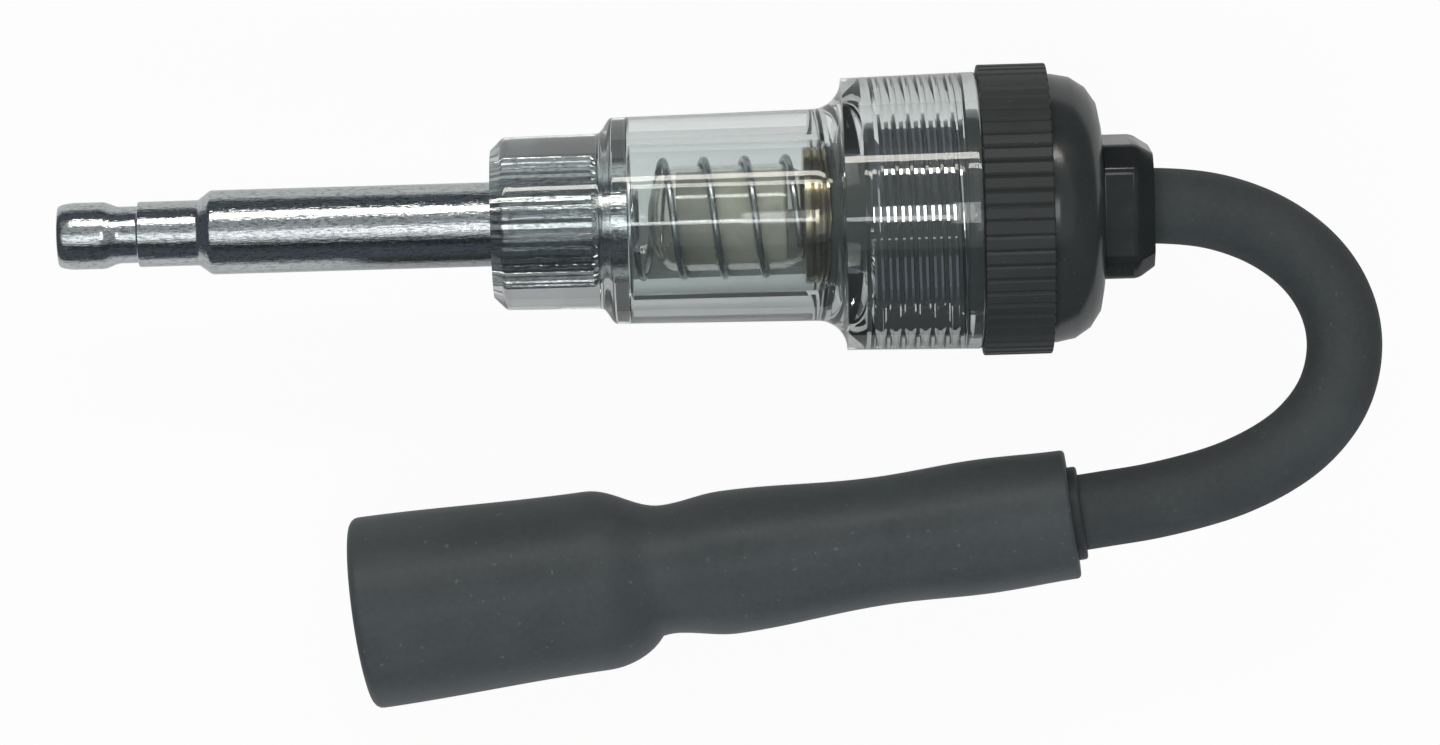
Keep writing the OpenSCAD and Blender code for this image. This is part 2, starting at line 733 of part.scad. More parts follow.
// Rubber boot: plug cavity at the mouth, terminal bore behind it, sleeve bore at the lead's end
module plug_boot() {
    terminal_bore_r = max(terminal_r, lead_bore_r) + boot_gap;
    sleeve_bore_r = sleeve_r + boot_gap;
    outer = eased(boot_keys);
    color("#484d4f") on_boot() turned(concat(
        [[sleeve_bore_r, sleeve_out]],
        [for (i = [0 : len(outer) - 2]) outer[i]],
        arc(mouth_r - mouth_round, w_mouth - mouth_round, mouth_round, 0, 90, 5),
        [
            [cavity_r, w_mouth], [cavity_r, w_cavity + cavity_cone], [terminal_bore_r, w_cavity],
            [terminal_bore_r, sleeve_len + play], [sleeve_bore_r, sleeve_len + play]
        ]
    ));
}

// Snap terminal that goes over the plug's stud, slotted, with a crimp barrel on the lead's end
module boot_terminal() {
    groove_r = terminal_r - ring_wire_d;
    ring_r = ring_wire_d / 2;
    color("#b8923f") on_boot() difference() {
        turned([
            [core_r, w_crimp], [crimp_r, w_crimp], [crimp_r, w_socket - socket_cone], [terminal_r, w_socket],
            [terminal_r, w_ring - ring_r], [groove_r, w_ring - ring_r],
            [groove_r, w_ring + ring_r], [terminal_r, w_ring + ring_r],
            [terminal_r, w_terminal - edge], [terminal_r - edge, w_terminal], [socket_r, w_terminal],
            [socket_r, w_socket + edge + crimp_t], [core_r, w_socket + edge]
        ]);
        translate([-slot_w / 2, -terminal_r - edge, w_terminal - slot_len])
            cube([slot_w, 2 * (terminal_r + edge), slot_len + edge]);
    }
}

// Wire ring that keeps the snap terminal closed
module terminal_ring() {
    color("#c8ccd0") on_boot() translate([0, 0, w_ring]) rotate([0, 0, ring_open / 2])
        rotate_extrude(angle = 360 - ring_open)
            translate([terminal_r - ring_wire_d / 2, 0]) circle(d = ring_wire_d - 2 * ring_gap);
}

terminal_rod();
clear_housing();
contact_washer();
lamp_spring();
lamp_glass();
lamp_stem();
lamp_cathode();
lamp_anode();
lamp_shell();
lamp_insulator();
lamp_contact();
screw_cap();
lead_terminal();
lead_core();
lead_collar();
lead_jacket();
boot_sleeve();
plug_boot();
boot_terminal();
terminal_ring();
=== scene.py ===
import json
import math

import bmesh
import bpy
from bpy.props import FloatProperty, FloatVectorProperty, IntProperty, PointerProperty
from bpy.types import Operator, Panel, PropertyGroup
from mathutils import Matrix, Vector


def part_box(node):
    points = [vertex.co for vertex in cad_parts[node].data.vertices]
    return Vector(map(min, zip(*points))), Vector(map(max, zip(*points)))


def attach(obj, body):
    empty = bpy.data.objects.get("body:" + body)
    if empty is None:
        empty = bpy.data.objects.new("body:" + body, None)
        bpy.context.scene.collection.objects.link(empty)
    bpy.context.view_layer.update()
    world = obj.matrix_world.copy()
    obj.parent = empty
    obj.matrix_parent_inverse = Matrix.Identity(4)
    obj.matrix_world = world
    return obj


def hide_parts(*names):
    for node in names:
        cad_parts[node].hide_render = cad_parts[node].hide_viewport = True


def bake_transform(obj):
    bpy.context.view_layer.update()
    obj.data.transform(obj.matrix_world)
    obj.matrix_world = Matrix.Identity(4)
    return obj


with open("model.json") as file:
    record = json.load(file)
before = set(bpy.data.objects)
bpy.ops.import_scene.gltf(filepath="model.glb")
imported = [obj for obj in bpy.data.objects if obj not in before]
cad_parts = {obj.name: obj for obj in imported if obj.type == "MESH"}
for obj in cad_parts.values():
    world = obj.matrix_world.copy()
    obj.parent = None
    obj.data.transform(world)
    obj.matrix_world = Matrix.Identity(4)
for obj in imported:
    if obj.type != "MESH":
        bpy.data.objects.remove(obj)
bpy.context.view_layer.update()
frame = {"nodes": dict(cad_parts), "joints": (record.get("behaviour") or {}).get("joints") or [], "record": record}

bl_info = {
    "name": "Ignition spark tester",
    "version": (1, 0, 0),
    "blender": (4, 5, 0),
    "location": "View3D > Sidebar > Tester",
    "description": "Dresses an in-line spark tester: clear lamp housing, screw cap, lead and plug boot",
    "category": "Object",
}

# Lengths are in metres, as in the frame. X runs along the tester, whose axis is AXIS_H above the floor.
MM = 0.001
JOINTS = {joint["name"]: joint for joint in frame["joints"]}
MOUNTS = {mount["name"]: mount for mount in frame["record"]["mounts"]}
AXIS_H = JOINTS["cap_turn"]["pos_m"][2]
# Points closer than this are one point
WELD = 2e-6
# Edges sharper than this stay sharp, and rounded corners have this many steps
CREASE = math.radians(32)
ROUND_STEPS = 4
# Straights longer than this get extra points this far from their ends
LONG_RUN = 1.2 * MM
HOLD = 0.12 * MM
# Steps round a turned piece, and round a screw thread
TURN_STEPS = 96
THREAD_STEPS = 120
# Gap round the lead in its collar and in the boot's sleeve
LEAD_GAP = 0.05 * MM
# Middle line of the lead, from where it leaves the collar to the boot's sleeve
ROUTE = [
    (0, 0), (0.0029, -0.0002), (0.0056, -0.0006), (0.0082, -0.0014), (0.0107, -0.0025), (0.013, -0.004),
    (0.015, -0.0058), (0.0166, -0.008), (0.0177, -0.0106), (0.0181, -0.0133), (0.0178, -0.016),
    (0.0169, -0.0186), (0.0154, -0.0208), (0.0134, -0.0228), (0.0111, -0.0243), (0.0087, -0.0255),
    (0.0061, -0.0265), (0.0035, -0.0272), (0.0008, -0.0278), (-0.0019, -0.0283), (-0.0046, -0.0286),
    (-0.0074, -0.029),
]


# Properties

def size(name, description, millimetres):
    """A length that a user can change, given here in millimetres."""
    return FloatProperty(
        name=name, description=description, default=millimetres * MM, unit="LENGTH", precision=5
    )


def colour(name, description, red, green, blue):
    """A colour that a user can change, in linear light."""
    return FloatVectorProperty(
        name=name, description=description, default=(red, green, blue), subtype="COLOR", size=3, min=0, max=1
    )


def count(name, description, number, low, high):
    """A number of like features that a user can change."""
    return IntProperty(name=name, description=description, default=number, min=low, max=high)


def angle(name, description, degrees):
    """An angle that a user can change, given here in degrees."""
    return FloatProperty(name=name, description=description, default=math.radians(degrees), subtype="ANGLE")


def share(name, description, part):
    """A share that a user can change."""
    return FloatProperty(name=name, description=description, default=part, subtype="FACTOR", min=0, max=1)


def power(name, description, watts):
    """A lamp's power that a user can change."""
    return FloatProperty(name=name, description=description, default=watts, unit="POWER")


class TesterRod(PropertyGroup):
    """Sizes of the steel terminal rod"""

    head_d: size("Head", "Diameter of the snap head", 6.35)
    tip_drop: size("Tip drop", "How far the head draws in at its front", 0.42)
    head_len: size("Head length", "Length of the head, up to its groove", 5.9)
    head_land: size("Head land", "Length of the straight land round the head", 2.4)
    snap_depth: size("Groove depth", "Depth of the snap groove", 0.48)
    snap_len: size("Groove length", "Length of the snap groove", 1.7)
    neck_d: size("Neck", "Diameter of the neck behind the groove", 6.2)
    neck_len: size("Neck length", "Length of the neck", 5.7)
    rod_d: size("Rod", "Diameter of the rod", 8)
    cone_len: size("Cone length", "Length of the cone from the neck to the rod", 1.2)
    knurl_inset: size("Knurl inset", "Plain length between the housing's face and the knurl", 0.8)
    knurl_len: size("Knurl length", "Length of the knurl", 8.8)
    knurl_rise: size("Knurl rise", "How far the teeth stand above the rod", 0.2)
    knurl_depth: size("Knurl depth", "Depth of the grooves between the teeth", 0.4)
    knurl_teeth: count("Knurl teeth", "Number of teeth", 36, 12, 60)
    rivet_d: size("Rivet", "Diameter of the riveted spigot", 4.8)
    rivet_lip: size("Rivet lip", "How far the peened head stands out", 0.8)


class TesterHousing(PropertyGroup):
    """Sizes of the clear housing"""

    front_d: size("Front", "Diameter of the collar round the rod", 16.4)
    front_len: size("Front length", "Length of that collar", 10.2)
    front_bevel: size("Front bevel", "Bevel on the front edge", 1.2)
    flare_len: size("Flare length", "Length of the flare up to the barrel", 1.4)
    barrel_d: size("Barrel", "Diameter of the lamp barrel", 19.6)
    barrel_len: size("Barrel length", "Length of the lamp barrel", 19)
    swell_len: size("Cove length", "Length of the cove from the barrel to the socket", 2.8)
    socket_d: size("Socket", "Diameter of the threaded socket", 25.8)
    draft: size("Draft", "Growth in diameter along each straight stretch", 0.5)
    chamber_d: size("Chamber", "Diameter of the lamp chamber", 14.4)
    chamber_len: size("Chamber length", "Length of the lamp chamber", 22.4)
    funnel_len: size("Funnel length", "Length of the cone at the end of the chamber", 2.2)
    root_gap: size("Bond", "How far the plastic closes in round the knurl's grooves", 0.05)
    relief_d: size("Relief", "Diameter of the plain bore at the open end", 19.5)
    relief_len: size("Relief length", "Length of that plain bore", 1.5)


class TesterThread(PropertyGroup):
    """Sizes of the screw thread"""

    pitch: size("Pitch", "Advance of the thread for each turn", 1.4)
    crest_d: size("Crest", "Diameter over the cap's ridge", 18.6)
    root_d: size("Root", "Diameter at the foot of the cap's ridge", 17.2)
    crest_half: size("Crest half", "Half of the ridge's width at its top", 0.1)
    foot_half: size("Foot half", "Half of the ridge's width at its foot", 0.45)
    radial_gap: size("Radial gap", "Gap between the two threads across the radius", 0.15)
    flank_gap: size("Flank gap", "Gap between the two threads on each flank", 0.12)


class TesterCap(PropertyGroup):
    """Sizes of the screw cap"""

    grip_d: size("Grip", "Diameter of the ribbed ring", 27.6)
    grip_len: size("Grip length", "Length of the ribbed ring", 6.5)
    grooves: count("Grooves", "Number of grooves round the ring", 60, 20, 90)
    groove_depth: size("Groove depth", "Depth of the grooves", 0.22)
    dome_d: size("Dome", "Diameter of the dome", 25.5)
    dome_round: size("Dome rounding", "Rounding of the dome's edge", 4.5)
    shoulder_d: size("Shoulder", "Diameter of the plain shoulder behind the thread", 19.2)
    shoulder_len: size("Shoulder length", "Length of that shoulder", 1.5)
    spigot_len: size("Spigot length", "Length of the spigot in the socket", 10.7)
    nose_d: size("Nose", "Diameter of the lamp nose", 13.6)
    nose_len: size("Nose length", "Length of the lamp nose", 2.6)
    lamp_bore_d: size("Lamp bore", "Diameter of the lamp's bore", 9.6)
    lamp_bore_len: size("Lamp bore length", "Depth of the lamp's bore", 9.9)
    lead_bore_d: size("Lead bore", "Diameter of the lead's bore", 7.4)


class TesterSpring(PropertyGroup):
    """Sizes of the contact spring"""

    wire_d: size("Wire", "Diameter of the wire", 0.7)
    turns: FloatProperty(name="Turns", description="Turns from end to end", default=4, min=1)
    start: angle("Start", "Turn at which the wire starts, from its lowest point", 210)


class TesterLamp(PropertyGroup):
    """Sizes of the lamp"""

    tip_len: size("Tip length", "Length of the rounded glass tip", 2.8)
    shoulder_len: size("Shoulder length", "Length of the glass shoulder in front of the base", 1.6)
    neck_d: size("Neck", "Diameter of the glass neck", 8.2)
    wall: size("Glass wall", "Thickness of the glass", 0.4)
    electrode_t: size("Electrode wall", "Thickness of the tubular electrode", 0.3)
    soot_len: size("Soot", "Length over which the electrode's front is darkened", 5.5)
    electrode_hole_d: size("Electrode hole", "Diameter of the hole in its end disc", 1.7)
    support_d: size("Support wire", "Diameter of the support wires", 0.7)
    shell_d: size("Base shell", "Diameter of the base shell", 9.1)
    shell_t: size("Shell wall", "Thickness of the base shell", 0.4)
    flange_len: size("Flange", "Length of the base flange", 3.4)
    flange_ridges: count("Ridges", "Ridges turned round the flange", 4, 1, 8)
    ridge_depth: size("Ridge depth", "Depth of the turned grooves between the ridges", 0.25)
    button_d: size("Button", "Diameter of the contact button", 3.2)


class TesterLead(PropertyGroup):
    """Sizes of the lead and its collar"""

    lead_d: size("Lead", "Diameter of the ignition lead", 7.2)
    collar_w: size("Collar", "Width of the square collar", 12.8)
    collar_corner: size("Collar corner", "How far the collar's corners are cut back", 2.1)
    collar_bevel: size("Collar bevel", "Length of the bevel round the collar's outer end", 1.6)
    collar_draw: size("Collar draw", "How far that bevel draws each side in", 1)
    collar_round: size("Collar rounding", "Rounding of the collar's edges", 0.4)
    collar_turn: angle("Collar turn", "Turn of the collar about the axis", 9)


class TesterBoot(PropertyGroup):
    """Sizes of the plug boot and its sleeve"""

    sleeve_d: size("Sleeve", "Diameter of the sleeve between the lead and the boot", 8.9)
    sleeve_len: size("Sleeve length", "Length of the sleeve", 16)
    sleeve_out: size("Sleeve reach", "How far the sleeve stands out of the boot", 0.9)
    end_r: size("End radius", "Radius at the lead's end", 6.15)
    tail_len: size("Tail length", "Length from the end to the tail's swell", 8.5)
    tail_r: size("Tail radius", "Radius of the tail's swell", 6.4)
    dip_len: size("Dip length", "Length from the tail's swell to the dip", 9.5)
    dip_r: size("Dip radius", "Radius of the dip", 6.1)
    swell_len: size("Swell length", "Length from the dip to the swell over the terminal", 15)
    swell_r: size("Swell radius", "Radius of that swell", 6.85)
    waist_len: size("Waist length", "Length from the swell to the waist", 5.7)
    waist_r: size("Waist radius", "Radius of the waist", 6.3)
    shoulder_len: size("Shoulder length", "Length of the shoulder", 7.1)
    skirt_r: size("Skirt radius", "Radius of the skirt behind its shoulder", 8.6)
    skirt_len: size("Skirt length", "Length of the skirt", 22.7)
    mouth_r: size("Mouth radius", "Radius at the mouth", 9.2)
    mouth_round: size("Mouth rounding", "Rounding of the mouth's rim", 0.8)
    cavity_d: size("Cavity", "Diameter of the plug's cavity", 12)
    cavity_len: size("Cavity length", "Depth of the plug's cavity", 25.2)
    bore_d: size("Terminal bore", "Diameter of the terminal's bore", 8.5)
    crease_depth: size("Crease depth", "How far the waist draws in on the side away from the tester", 0.45)


class TesterFinish(PropertyGroup):
    """Colours of the finishes"""

    steel: colour("Steel", "Plated steel of the rod", 0.55, 0.58, 0.585)
    spring: colour("Spring steel", "Wire of the spring", 0.42, 0.43, 0.44)
    plastic: colour("Clear plastic", "Tint of the clear housing", 0.85, 0.895, 0.89)
    glass: colour("Lamp glass", "Tint of the lamp's glass", 0.93, 0.92, 0.88)
    cap: colour("Cap", "Black moulded plastic of the cap", 0.0255, 0.028, 0.0285)
    collar: colour("Collar", "Glossy black plastic of the collar", 0.014, 0.016, 0.0165)
    lead: colour("Lead", "Rubber of the lead", 0.041, 0.046, 0.048)
    sleeve: colour("Sleeve", "Rubber of the sleeve", 0.032, 0.036, 0.038)
    boot: colour("Boot", "Rubber of the plug boot", 0.0475, 0.054, 0.057)
    brass: colour("Brass", "Brass of the terminals", 0.58, 0.42, 0.17)
    copper: colour("Copper", "Stranded conductor", 0.55, 0.29, 0.17)
    nickel: colour("Electrode", "Oxidised nickel of the electrodes", 0.27, 0.258, 0.242)
    plating: colour("Plating", "Tin plating of the washer", 0.56, 0.56, 0.55)
    base: colour("Lamp base", "Plated base shell", 0.44, 0.375, 0.26)
    insulator: colour("Insulator", "Dark insulator in the lamp's base", 0.02, 0.019, 0.018)
    solder: colour("Solder", "Soft metal of the contact button", 0.5, 0.5, 0.49)
    ceramic: colour("Stem", "Glass stem that carries the electrodes", 0.7, 0.7, 0.67)


class TesterStage(PropertyGroup):
    """Camera, lamps and floor"""

    view_x: size("View X", "Where the camera looks, along the tester", 10.5)
    view_y: size("View Y", "Where the camera looks, across the tester", -14.7)
    view_rise: size("View height", "Height of the camera above the tester's axis", 617.5)
    view_roll: angle("View roll", "Turn of the camera about its view", -1.66)
    view_width: size("View width", "Width of the view at the tester's axis", 136.8)
    floor_half: size("Floor", "Half of the floor's side", 3000)
    floor: colour("Floor colour", "Matt colour of the floor", 0.62, 0.62, 0.62)
    floor_glow: share("Floor glow", "Share of the floor's white that no shadow takes", 0.95)
    floor_mirrored: share("Mirrored floor", "That share where metal or glass shows the floor", 0.18)
    sky: FloatProperty(name="Sky", description="Brightness of the room", default=0.4)
    shade_reach: size("Shade", "Reach of the tester's shade on the floor", 14)
    wall_r: size("Wall radius", "Radius of the grey wall round the tester", 110)
    wall_h: size("Wall height", "Height of the grey wall", 98)
    wall: colour("Wall", "Colour of the grey wall", 0.085, 0.098, 0.115)
    card: colour("Card", "Colour of the dark card", 0.026, 0.03, 0.034)
    lamp_distance: size("Lamp distance", "Distance of the lamps from the tester", 1000)
    strip_power: power("Strip", "Power of the strip lamp", 6)
    box_power: power("Soft box", "Power of the soft box over the rod", 0.85)
    bar_power: power("Bar", "Power of the bar lamp over the barrel", 0.1)
    cap_power: power("Cap box", "Power of the soft box over the cap", 0.75)
    fill_power: power("Fill", "Power of the fill lamp on matt surfaces", 6)


# Shader nodes

class Value:
    """A shader socket. Python's operators on it add Math nodes."""

    def __init__(self, finish, socket):
        self.finish = finish
        self.socket = socket

    def maths(self, operation, *terms):
        return self.finish.node("ShaderNodeMath", {"operation": operation}, terms)

    def __add__(self, other):
        return self.maths("ADD", self, other)

    def __sub__(self, other):
        return self.maths("SUBTRACT", self, other)

    def __rsub__(self, other):
        return self.maths("SUBTRACT", other, self)

    def __mul__(self, other):
        return self.maths("MULTIPLY", self, other)

    def either(self, other):
        return self.maths("MAXIMUM", self, other)

    __radd__ = __add__
    __rmul__ = __mul__


class Finish:
    """The nodes of a material or of the world."""

    def __init__(self, owner):
        owner.use_nodes = True
        self.owner = owner
        self.tree = owner.node_tree
        self.tree.nodes.clear()

    def node(self, kind, settings, inputs=(), output=0):
        """Adds a node, sets it up, fills or links its inputs and gives one of its outputs."""
        node = self.tree.nodes.new(kind)
        for name, value in settings.items():
            if name == "stops":
                for element, (place, shade) in zip(stops_of(node, len(value)), value):
                    element.position = place
                    element.color = (shade, shade, shade, 1)
            else:
                setattr(node, name, value)
        for key, value in inputs.items() if isinstance(inputs, dict) else enumerate(inputs):
            if isinstance(value, Value):
                self.tree.links.new(value.socket, node.inputs[key])
            else:
                node.inputs[key].default_value = value
        return Value(self, node.outputs[output]) if node.outputs else None

    def place(self, scale=(1, 1, 1), turn=(0, 0, 0)):
        """The piece's own coordinates, turned and scaled."""
        place = self.node("ShaderNodeTexCoord", {}, output="Object")
        return self.node("ShaderNodeMapping", {}, {"Vector": place, "Rotation": turn, "Scale": scale})

    def noise(self, scale, detail=2.0, stretch=(1, 1, 1), turn=(0, 0, 0), roughness=0.5):
        """Soft noise whose grain is 1 / scale metres."""
        inputs = {"Scale": scale, "Detail": detail, "Roughness": roughness}
        return self.node("ShaderNodeTexNoise", {}, {"Vector": self.place(stretch, turn), **inputs})

    def ramp(self, value, stops):
        """Grey levels along a value."""
        return self.node("ShaderNodeValToRGB", {"stops": stops}, (value,))

    def mix(self, factor, a, b):
        """Blends two colours."""
        inputs = {0: factor, 6: rgba(a), 7: rgba(b)}
        return self.node("ShaderNodeMix", {"data_type": "RGBA"}, inputs, 2)

    def bump(self, height, distance, strength=1.0):
        """Small relief, its distance in metres."""
        inputs = {"Strength": strength, "Distance": distance, "Height": height}
        return self.node("ShaderNodeBump", {}, inputs)

    def principled(self, **sockets):
        """The main shader, with its sockets named in Python's way."""
        names = [name.replace("_", " ").title().replace("Ior", "IOR") for name in sockets]
        return self.node("ShaderNodeBsdfPrincipled", {}, dict(zip(names, sockets.values())))

    def surface(self, shader):
        """Sends a shader to the output and gives back the material."""
        kind = "World" if isinstance(self.owner, bpy.types.World) else "Material"
        self.node("ShaderNodeOutput" + kind, {}, {"Surface": shader})
        return self.owner


def stops_of(node, count):
    """A ramp's stops, as many as are needed."""
    elements = node.color_ramp.elements
    while len(elements) < count:
        elements.new(1)
    return elements


def rgba(shade):
    """A colour with its alpha, or a socket as it is."""
    return shade if isinstance(shade, Value) else (*shade, 1)


def toned(shade, factor):
    """A colour made lighter or darker."""
    return tuple(min(1, channel * factor) for channel in shade)


def new_finish(name):
    return Finish(bpy.data.materials.new(name))


# Finishes

def drawn_steel(name, shade, rough=0.13):
    """Drawn and plated bar: fine streaks and short dark grain along it, and patches in the plating."""
    finish = new_finish(name)
    streaks = finish.noise(1, 3, stretch=(500, 4600, 4600), roughness=0.7)
    grain = finish.ramp(finish.noise(1, 2, stretch=(1700, 5600, 5600)), [(0.32, 0), (0.5, 1)])
    patches = finish.noise(300, 3)
    pits = finish.ramp(finish.noise(5200, 2), [(0.62, 0), (0.74, 1)])
    base = finish.mix(patches, toned(shade, 0.9), toned(shade, 1.14))
    grained = finish.mix(grain, toned(shade, 0.58), base)
    return finish.surface(finish.principled(
        base_color=finish.mix(pits * 0.5, grained, toned(shade, 0.55)),
        metallic=1.0,
        roughness=rough + (streaks - 0.5) * 0.16 + pits * 0.15,
        normal=finish.bump(streaks + patches * 0.6, 3e-5, 0.8),
    ))


def plain_metal(name, shade, rough=0.3, tarnish=0.55, metallic=1.0, soot=None):
    """Turned or pressed metal with patches of tarnish, and soot that fades between two places."""
    finish = new_finish(name)
    patches = finish.noise(420, 4, roughness=0.6)
    marks = finish.noise(1, 2, stretch=(9000, 900, 900))
    stain = finish.ramp(patches, [(0.42, 0), (0.72, 1)])
    base = finish.mix(stain, shade, toned(shade, tarnish))
    if soot:
        start, stop = soot
        along = finish.node("ShaderNodeSeparateXYZ", {}, (finish.place(),))
        black = finish.ramp((along - start) * (1 / (stop - start)), [(0.2, 1), (1, 0)])
        base = finish.mix(black, base, toned(shade, 0.42))
    return finish.surface(finish.principled(
        base_color=base,
        metallic=metallic,
        roughness=rough + stain * 0.18 + (marks - 0.5) * 0.12,
        normal=finish.bump(marks, 2e-6, 0.5),
    ))


def clear_moulding(name, shade, index, rough, haze):
    """Clear plastic or glass with faint flow lines, scuffs and specks. Lamps shine through it."""
    finish = new_finish(name)
    flow = finish.noise(260, 2, stretch=(0.35, 1, 1))
    scratches = finish.noise(1, 2, stretch=(500, 5200, 5200), turn=(0, 0, 0.5))
    scuffs = finish.ramp(scratches, [(0.66, 0), (0.8, 1)])
    specks = finish.ramp(finish.noise(2600, 1), [(0.74, 0), (0.79, 1)])
    clear = finish.principled(
        base_color=finish.mix(flow, toned(shade, 0.97), toned(shade, 1.03)),
        roughness=rough + scuffs * haze + specks * haze,
        ior=index,
        transmission_weight=0.99,
        normal=finish.bump(flow, 6e-6, 0.4),
    )
    through = finish.node("ShaderNodeBsdfTransparent", {}, {"Color": rgba(toned(shade, 1.08))})
    shadow = finish.node("ShaderNodeLightPath", {}, output="Is Shadow Ray")
    return finish.surface(finish.node("ShaderNodeMixShader", {}, (shadow, clear, through)))


def black_moulding(name, shade, rough, grain=7000, relief=9e-6, sheen=0.35):
    """Black moulded plastic with an even fine grain, handling marks and a little dust."""
    finish = new_finish(name)
    fine = finish.noise(grain, 2)
    broad = finish.noise(240, 3, roughness=0.6)
    dust = finish.ramp(finish.noise(3400, 1), [(0.7, 0), (0.8, 1)])
    base = finish.mix(broad, toned(shade, 0.8), toned(shade, 1.25))
    return finish.surface(finish.principled(
        base_color=finish.mix(dust * 0.18, base, toned(shade, 7)),
        roughness=rough + (broad - 0.5) * 0.14 + (fine - 0.5) * 0.1,
        specular_ior_level=sheen,
        normal=finish.bump(fine + broad * 1.5, relief, 0.5),
    ))


def rubber(name, shade, rough=0.44, grain=4200, relief=2.2e-5, dust_share=0.3):
    """Moulded rubber: matt, cloudy, with a fine pebble and pale dust specks."""
    finish = new_finish(name)
    pebble = finish.noise(grain, 3, roughness=0.65)
    clouds = finish.noise(110, 4, roughness=0.6)
    mottle = finish.noise(1700, 2, roughness=0.6)
    specks = finish.ramp(finish.noise(1500, 1), [(0.72, 0), (0.78, 1)])
    bloom = finish.ramp(finish.noise(70, 2), [(0.5, 0), (0.8, 1)])
    base = finish.mix(clouds * 0.6 + mottle * 0.4, toned(shade, 0.6), toned(shade, 1.4))
    dusty = finish.mix(bloom * 0.3, base, toned(shade, 1.7))
    return finish.surface(finish.principled(
        base_color=finish.mix(specks * dust_share, dusty, toned(shade, 3.2)),
        roughness=rough + (clouds - 0.5) * 0.3,
        specular_ior_level=0.2,
        normal=finish.bump(pebble + clouds * 2, relief, 0.45),
    ))


# Modelling

def ends(node):
    """Where a node starts and stops along the tester."""
    low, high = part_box(node)
    return low.x, high.x


def reach(node):
    """How far a turned node reaches from the tester's axis."""
    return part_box(node)[1].y


def eased(keys, steps=6):
    """Points that ease from each (distance, radius) key to the next."""
    points = [keys[0]]
    for (x0, r0), (x1, r1) in zip(keys, keys[1:]):
        for i in range(1, steps + 1):
            t = i / steps
            points.append((x0 + (x1 - x0) * t, r0 + (r1 - r0) * (1 - math.cos(math.pi * t)) / 2))
    return points


def cove(x0, r0, x1, r1, steps=8):
    """A quarter of an ellipse that leaves the first point along the axis and meets the second square on."""
    quarter = [math.pi / 2 * i / steps for i in range(steps + 1)]
    return [(x0 + (x1 - x0) * math.sin(a), r1 + (r0 - r1) * math.cos(a)) for a in quarter]


def held(points, closed):
    """Adds a point close to both ends of each long straight, so that its shading stays even."""
    outline = []
    for here, there in zip(points, points[1:] + points[:1]):
        outline.append(here)
        run = math.dist(here[:2], there[:2])
        if run > LONG_RUN and (closed or there is not points[0]):
            for place in (sum(here[2:]) + HOLD, run - sum(there[2:]) - HOLD):
                outline.append(tuple(a + (b - a) * place / run for a, b in zip(here[:2], there[:2])))
    return outline


def turned(bm, points, steps=TURN_STEPS, closed=False, rise=0.0):
    """Spins an outline of (distance, radius) points about X. A third number rounds that corner."""
    points = held(points, closed)
    old = set(bm.verts) | set(bm.edges)
    verts = [bm.verts.new((point[0], 0, point[1])) for point in points]
    for pair in zip(verts, verts[1:] + verts[:1] if closed else verts[1:]):
        bm.edges.new(pair)
    for vert, point in zip(verts, points):
        if len(point) > 2:
            bmesh.ops.bevel(
                bm, geom=[vert], offset=point[2], segments=ROUND_STEPS, profile=0.5, affect="VERTICES",
                material=-1,
            )
    outline = [part for part in bm.verts[:] + bm.edges[:] if part not in old]
    bmesh.ops.spin(
        bm, geom=outline, cent=(0, 0, 0), axis=(1, 0, 0), dvec=(rise / steps, 0, 0),
        angle=2 * math.pi, steps=steps, use_merge=rise == 0,
    )
    bmesh.ops.remove_doubles(bm, verts=[vert for vert in bm.verts if vert not in old], dist=WELD)


def open_loop(bm, x):
    """The open edges that lie square across the axis at x."""
    return [
        edge for edge in bm.edges
        if edge.is_boundary and all(abs(vert.co.x - x) < WELD for vert in edge.verts)
    ]


def row_of(vert, steps):
    """The row of points, out of that many round the axis, that a point is in."""
    return round(math.atan2(vert.co.z, vert.co.y) / (2 * math.pi) * steps)


def drawn_out(bm, x, to_x, to_r):
    """Extrudes the open loop at x to a circle of that radius at to_x."""
    new = bmesh.ops.extrude_edge_only(bm, edges=open_loop(bm, x))["geom"]
    for vert in new:
        if isinstance(vert, bmesh.types.BMVert):
            across = Vector((0, vert.co.y, vert.co.z)).normalized() * to_r
            vert.co = (to_x, across.y, across.z)


def screw(bm, thread, centre, foot_r, foot_half, top_r, top_half, start, stop):
    """A screw surface through centre, cut square at start and stop."""
    pitch = thread.pitch
    points = []
    for turn in range(math.floor((start - centre) / pitch) - 1, math.ceil((stop - centre) / pitch) + 1):
        x = centre + pitch * turn
        points += [(x - foot_half, foot_r), (x - top_half, top_r)]
        points += [(x + top_half, top_r), (x + foot_half, foot_r)]
    turned(bm, points, THREAD_STEPS, rise=pitch)
    for x, side in ((start, -1), (stop, 1)):
        bmesh.ops.bisect_plane(
            bm, geom=bm.verts[:] + bm.edges[:] + bm.faces[:], dist=WELD / 10,
            plane_co=(x, 0, 0), plane_no=(side, 0, 0), clear_outer=True,
        )


def bridged(bm, x_a, x_b):
    """Joins the open loops at two places."""
    bmesh.ops.bridge_loops(bm, edges=open_loop(bm, x_a) + open_loop(bm, x_b))


def made(name, bm, material, body=None, node=None, place=None):
    """Turns a bmesh into a finished piece, puts it in place, joins it to its body and hides the node that it
    replaces.
    """
    bmesh.ops.transform(bm, matrix=place or Matrix.Translation((0, 0, AXIS_H)), verts=bm.verts[:])
    bmesh.ops.recalc_face_normals(bm, faces=bm.faces[:])
    mesh = bpy.data.meshes.new(name)
    bm.to_mesh(mesh)
    bm.free()
    mesh.shade_smooth()
    mesh.set_sharp_from_angle(angle=CREASE)
    mesh.materials.append(material)
    piece = bpy.data.objects.new(name, mesh)
    bpy.context.scene.collection.objects.link(piece)
    if body:
        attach(piece, body)
    if node:
        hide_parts(node)
    return piece


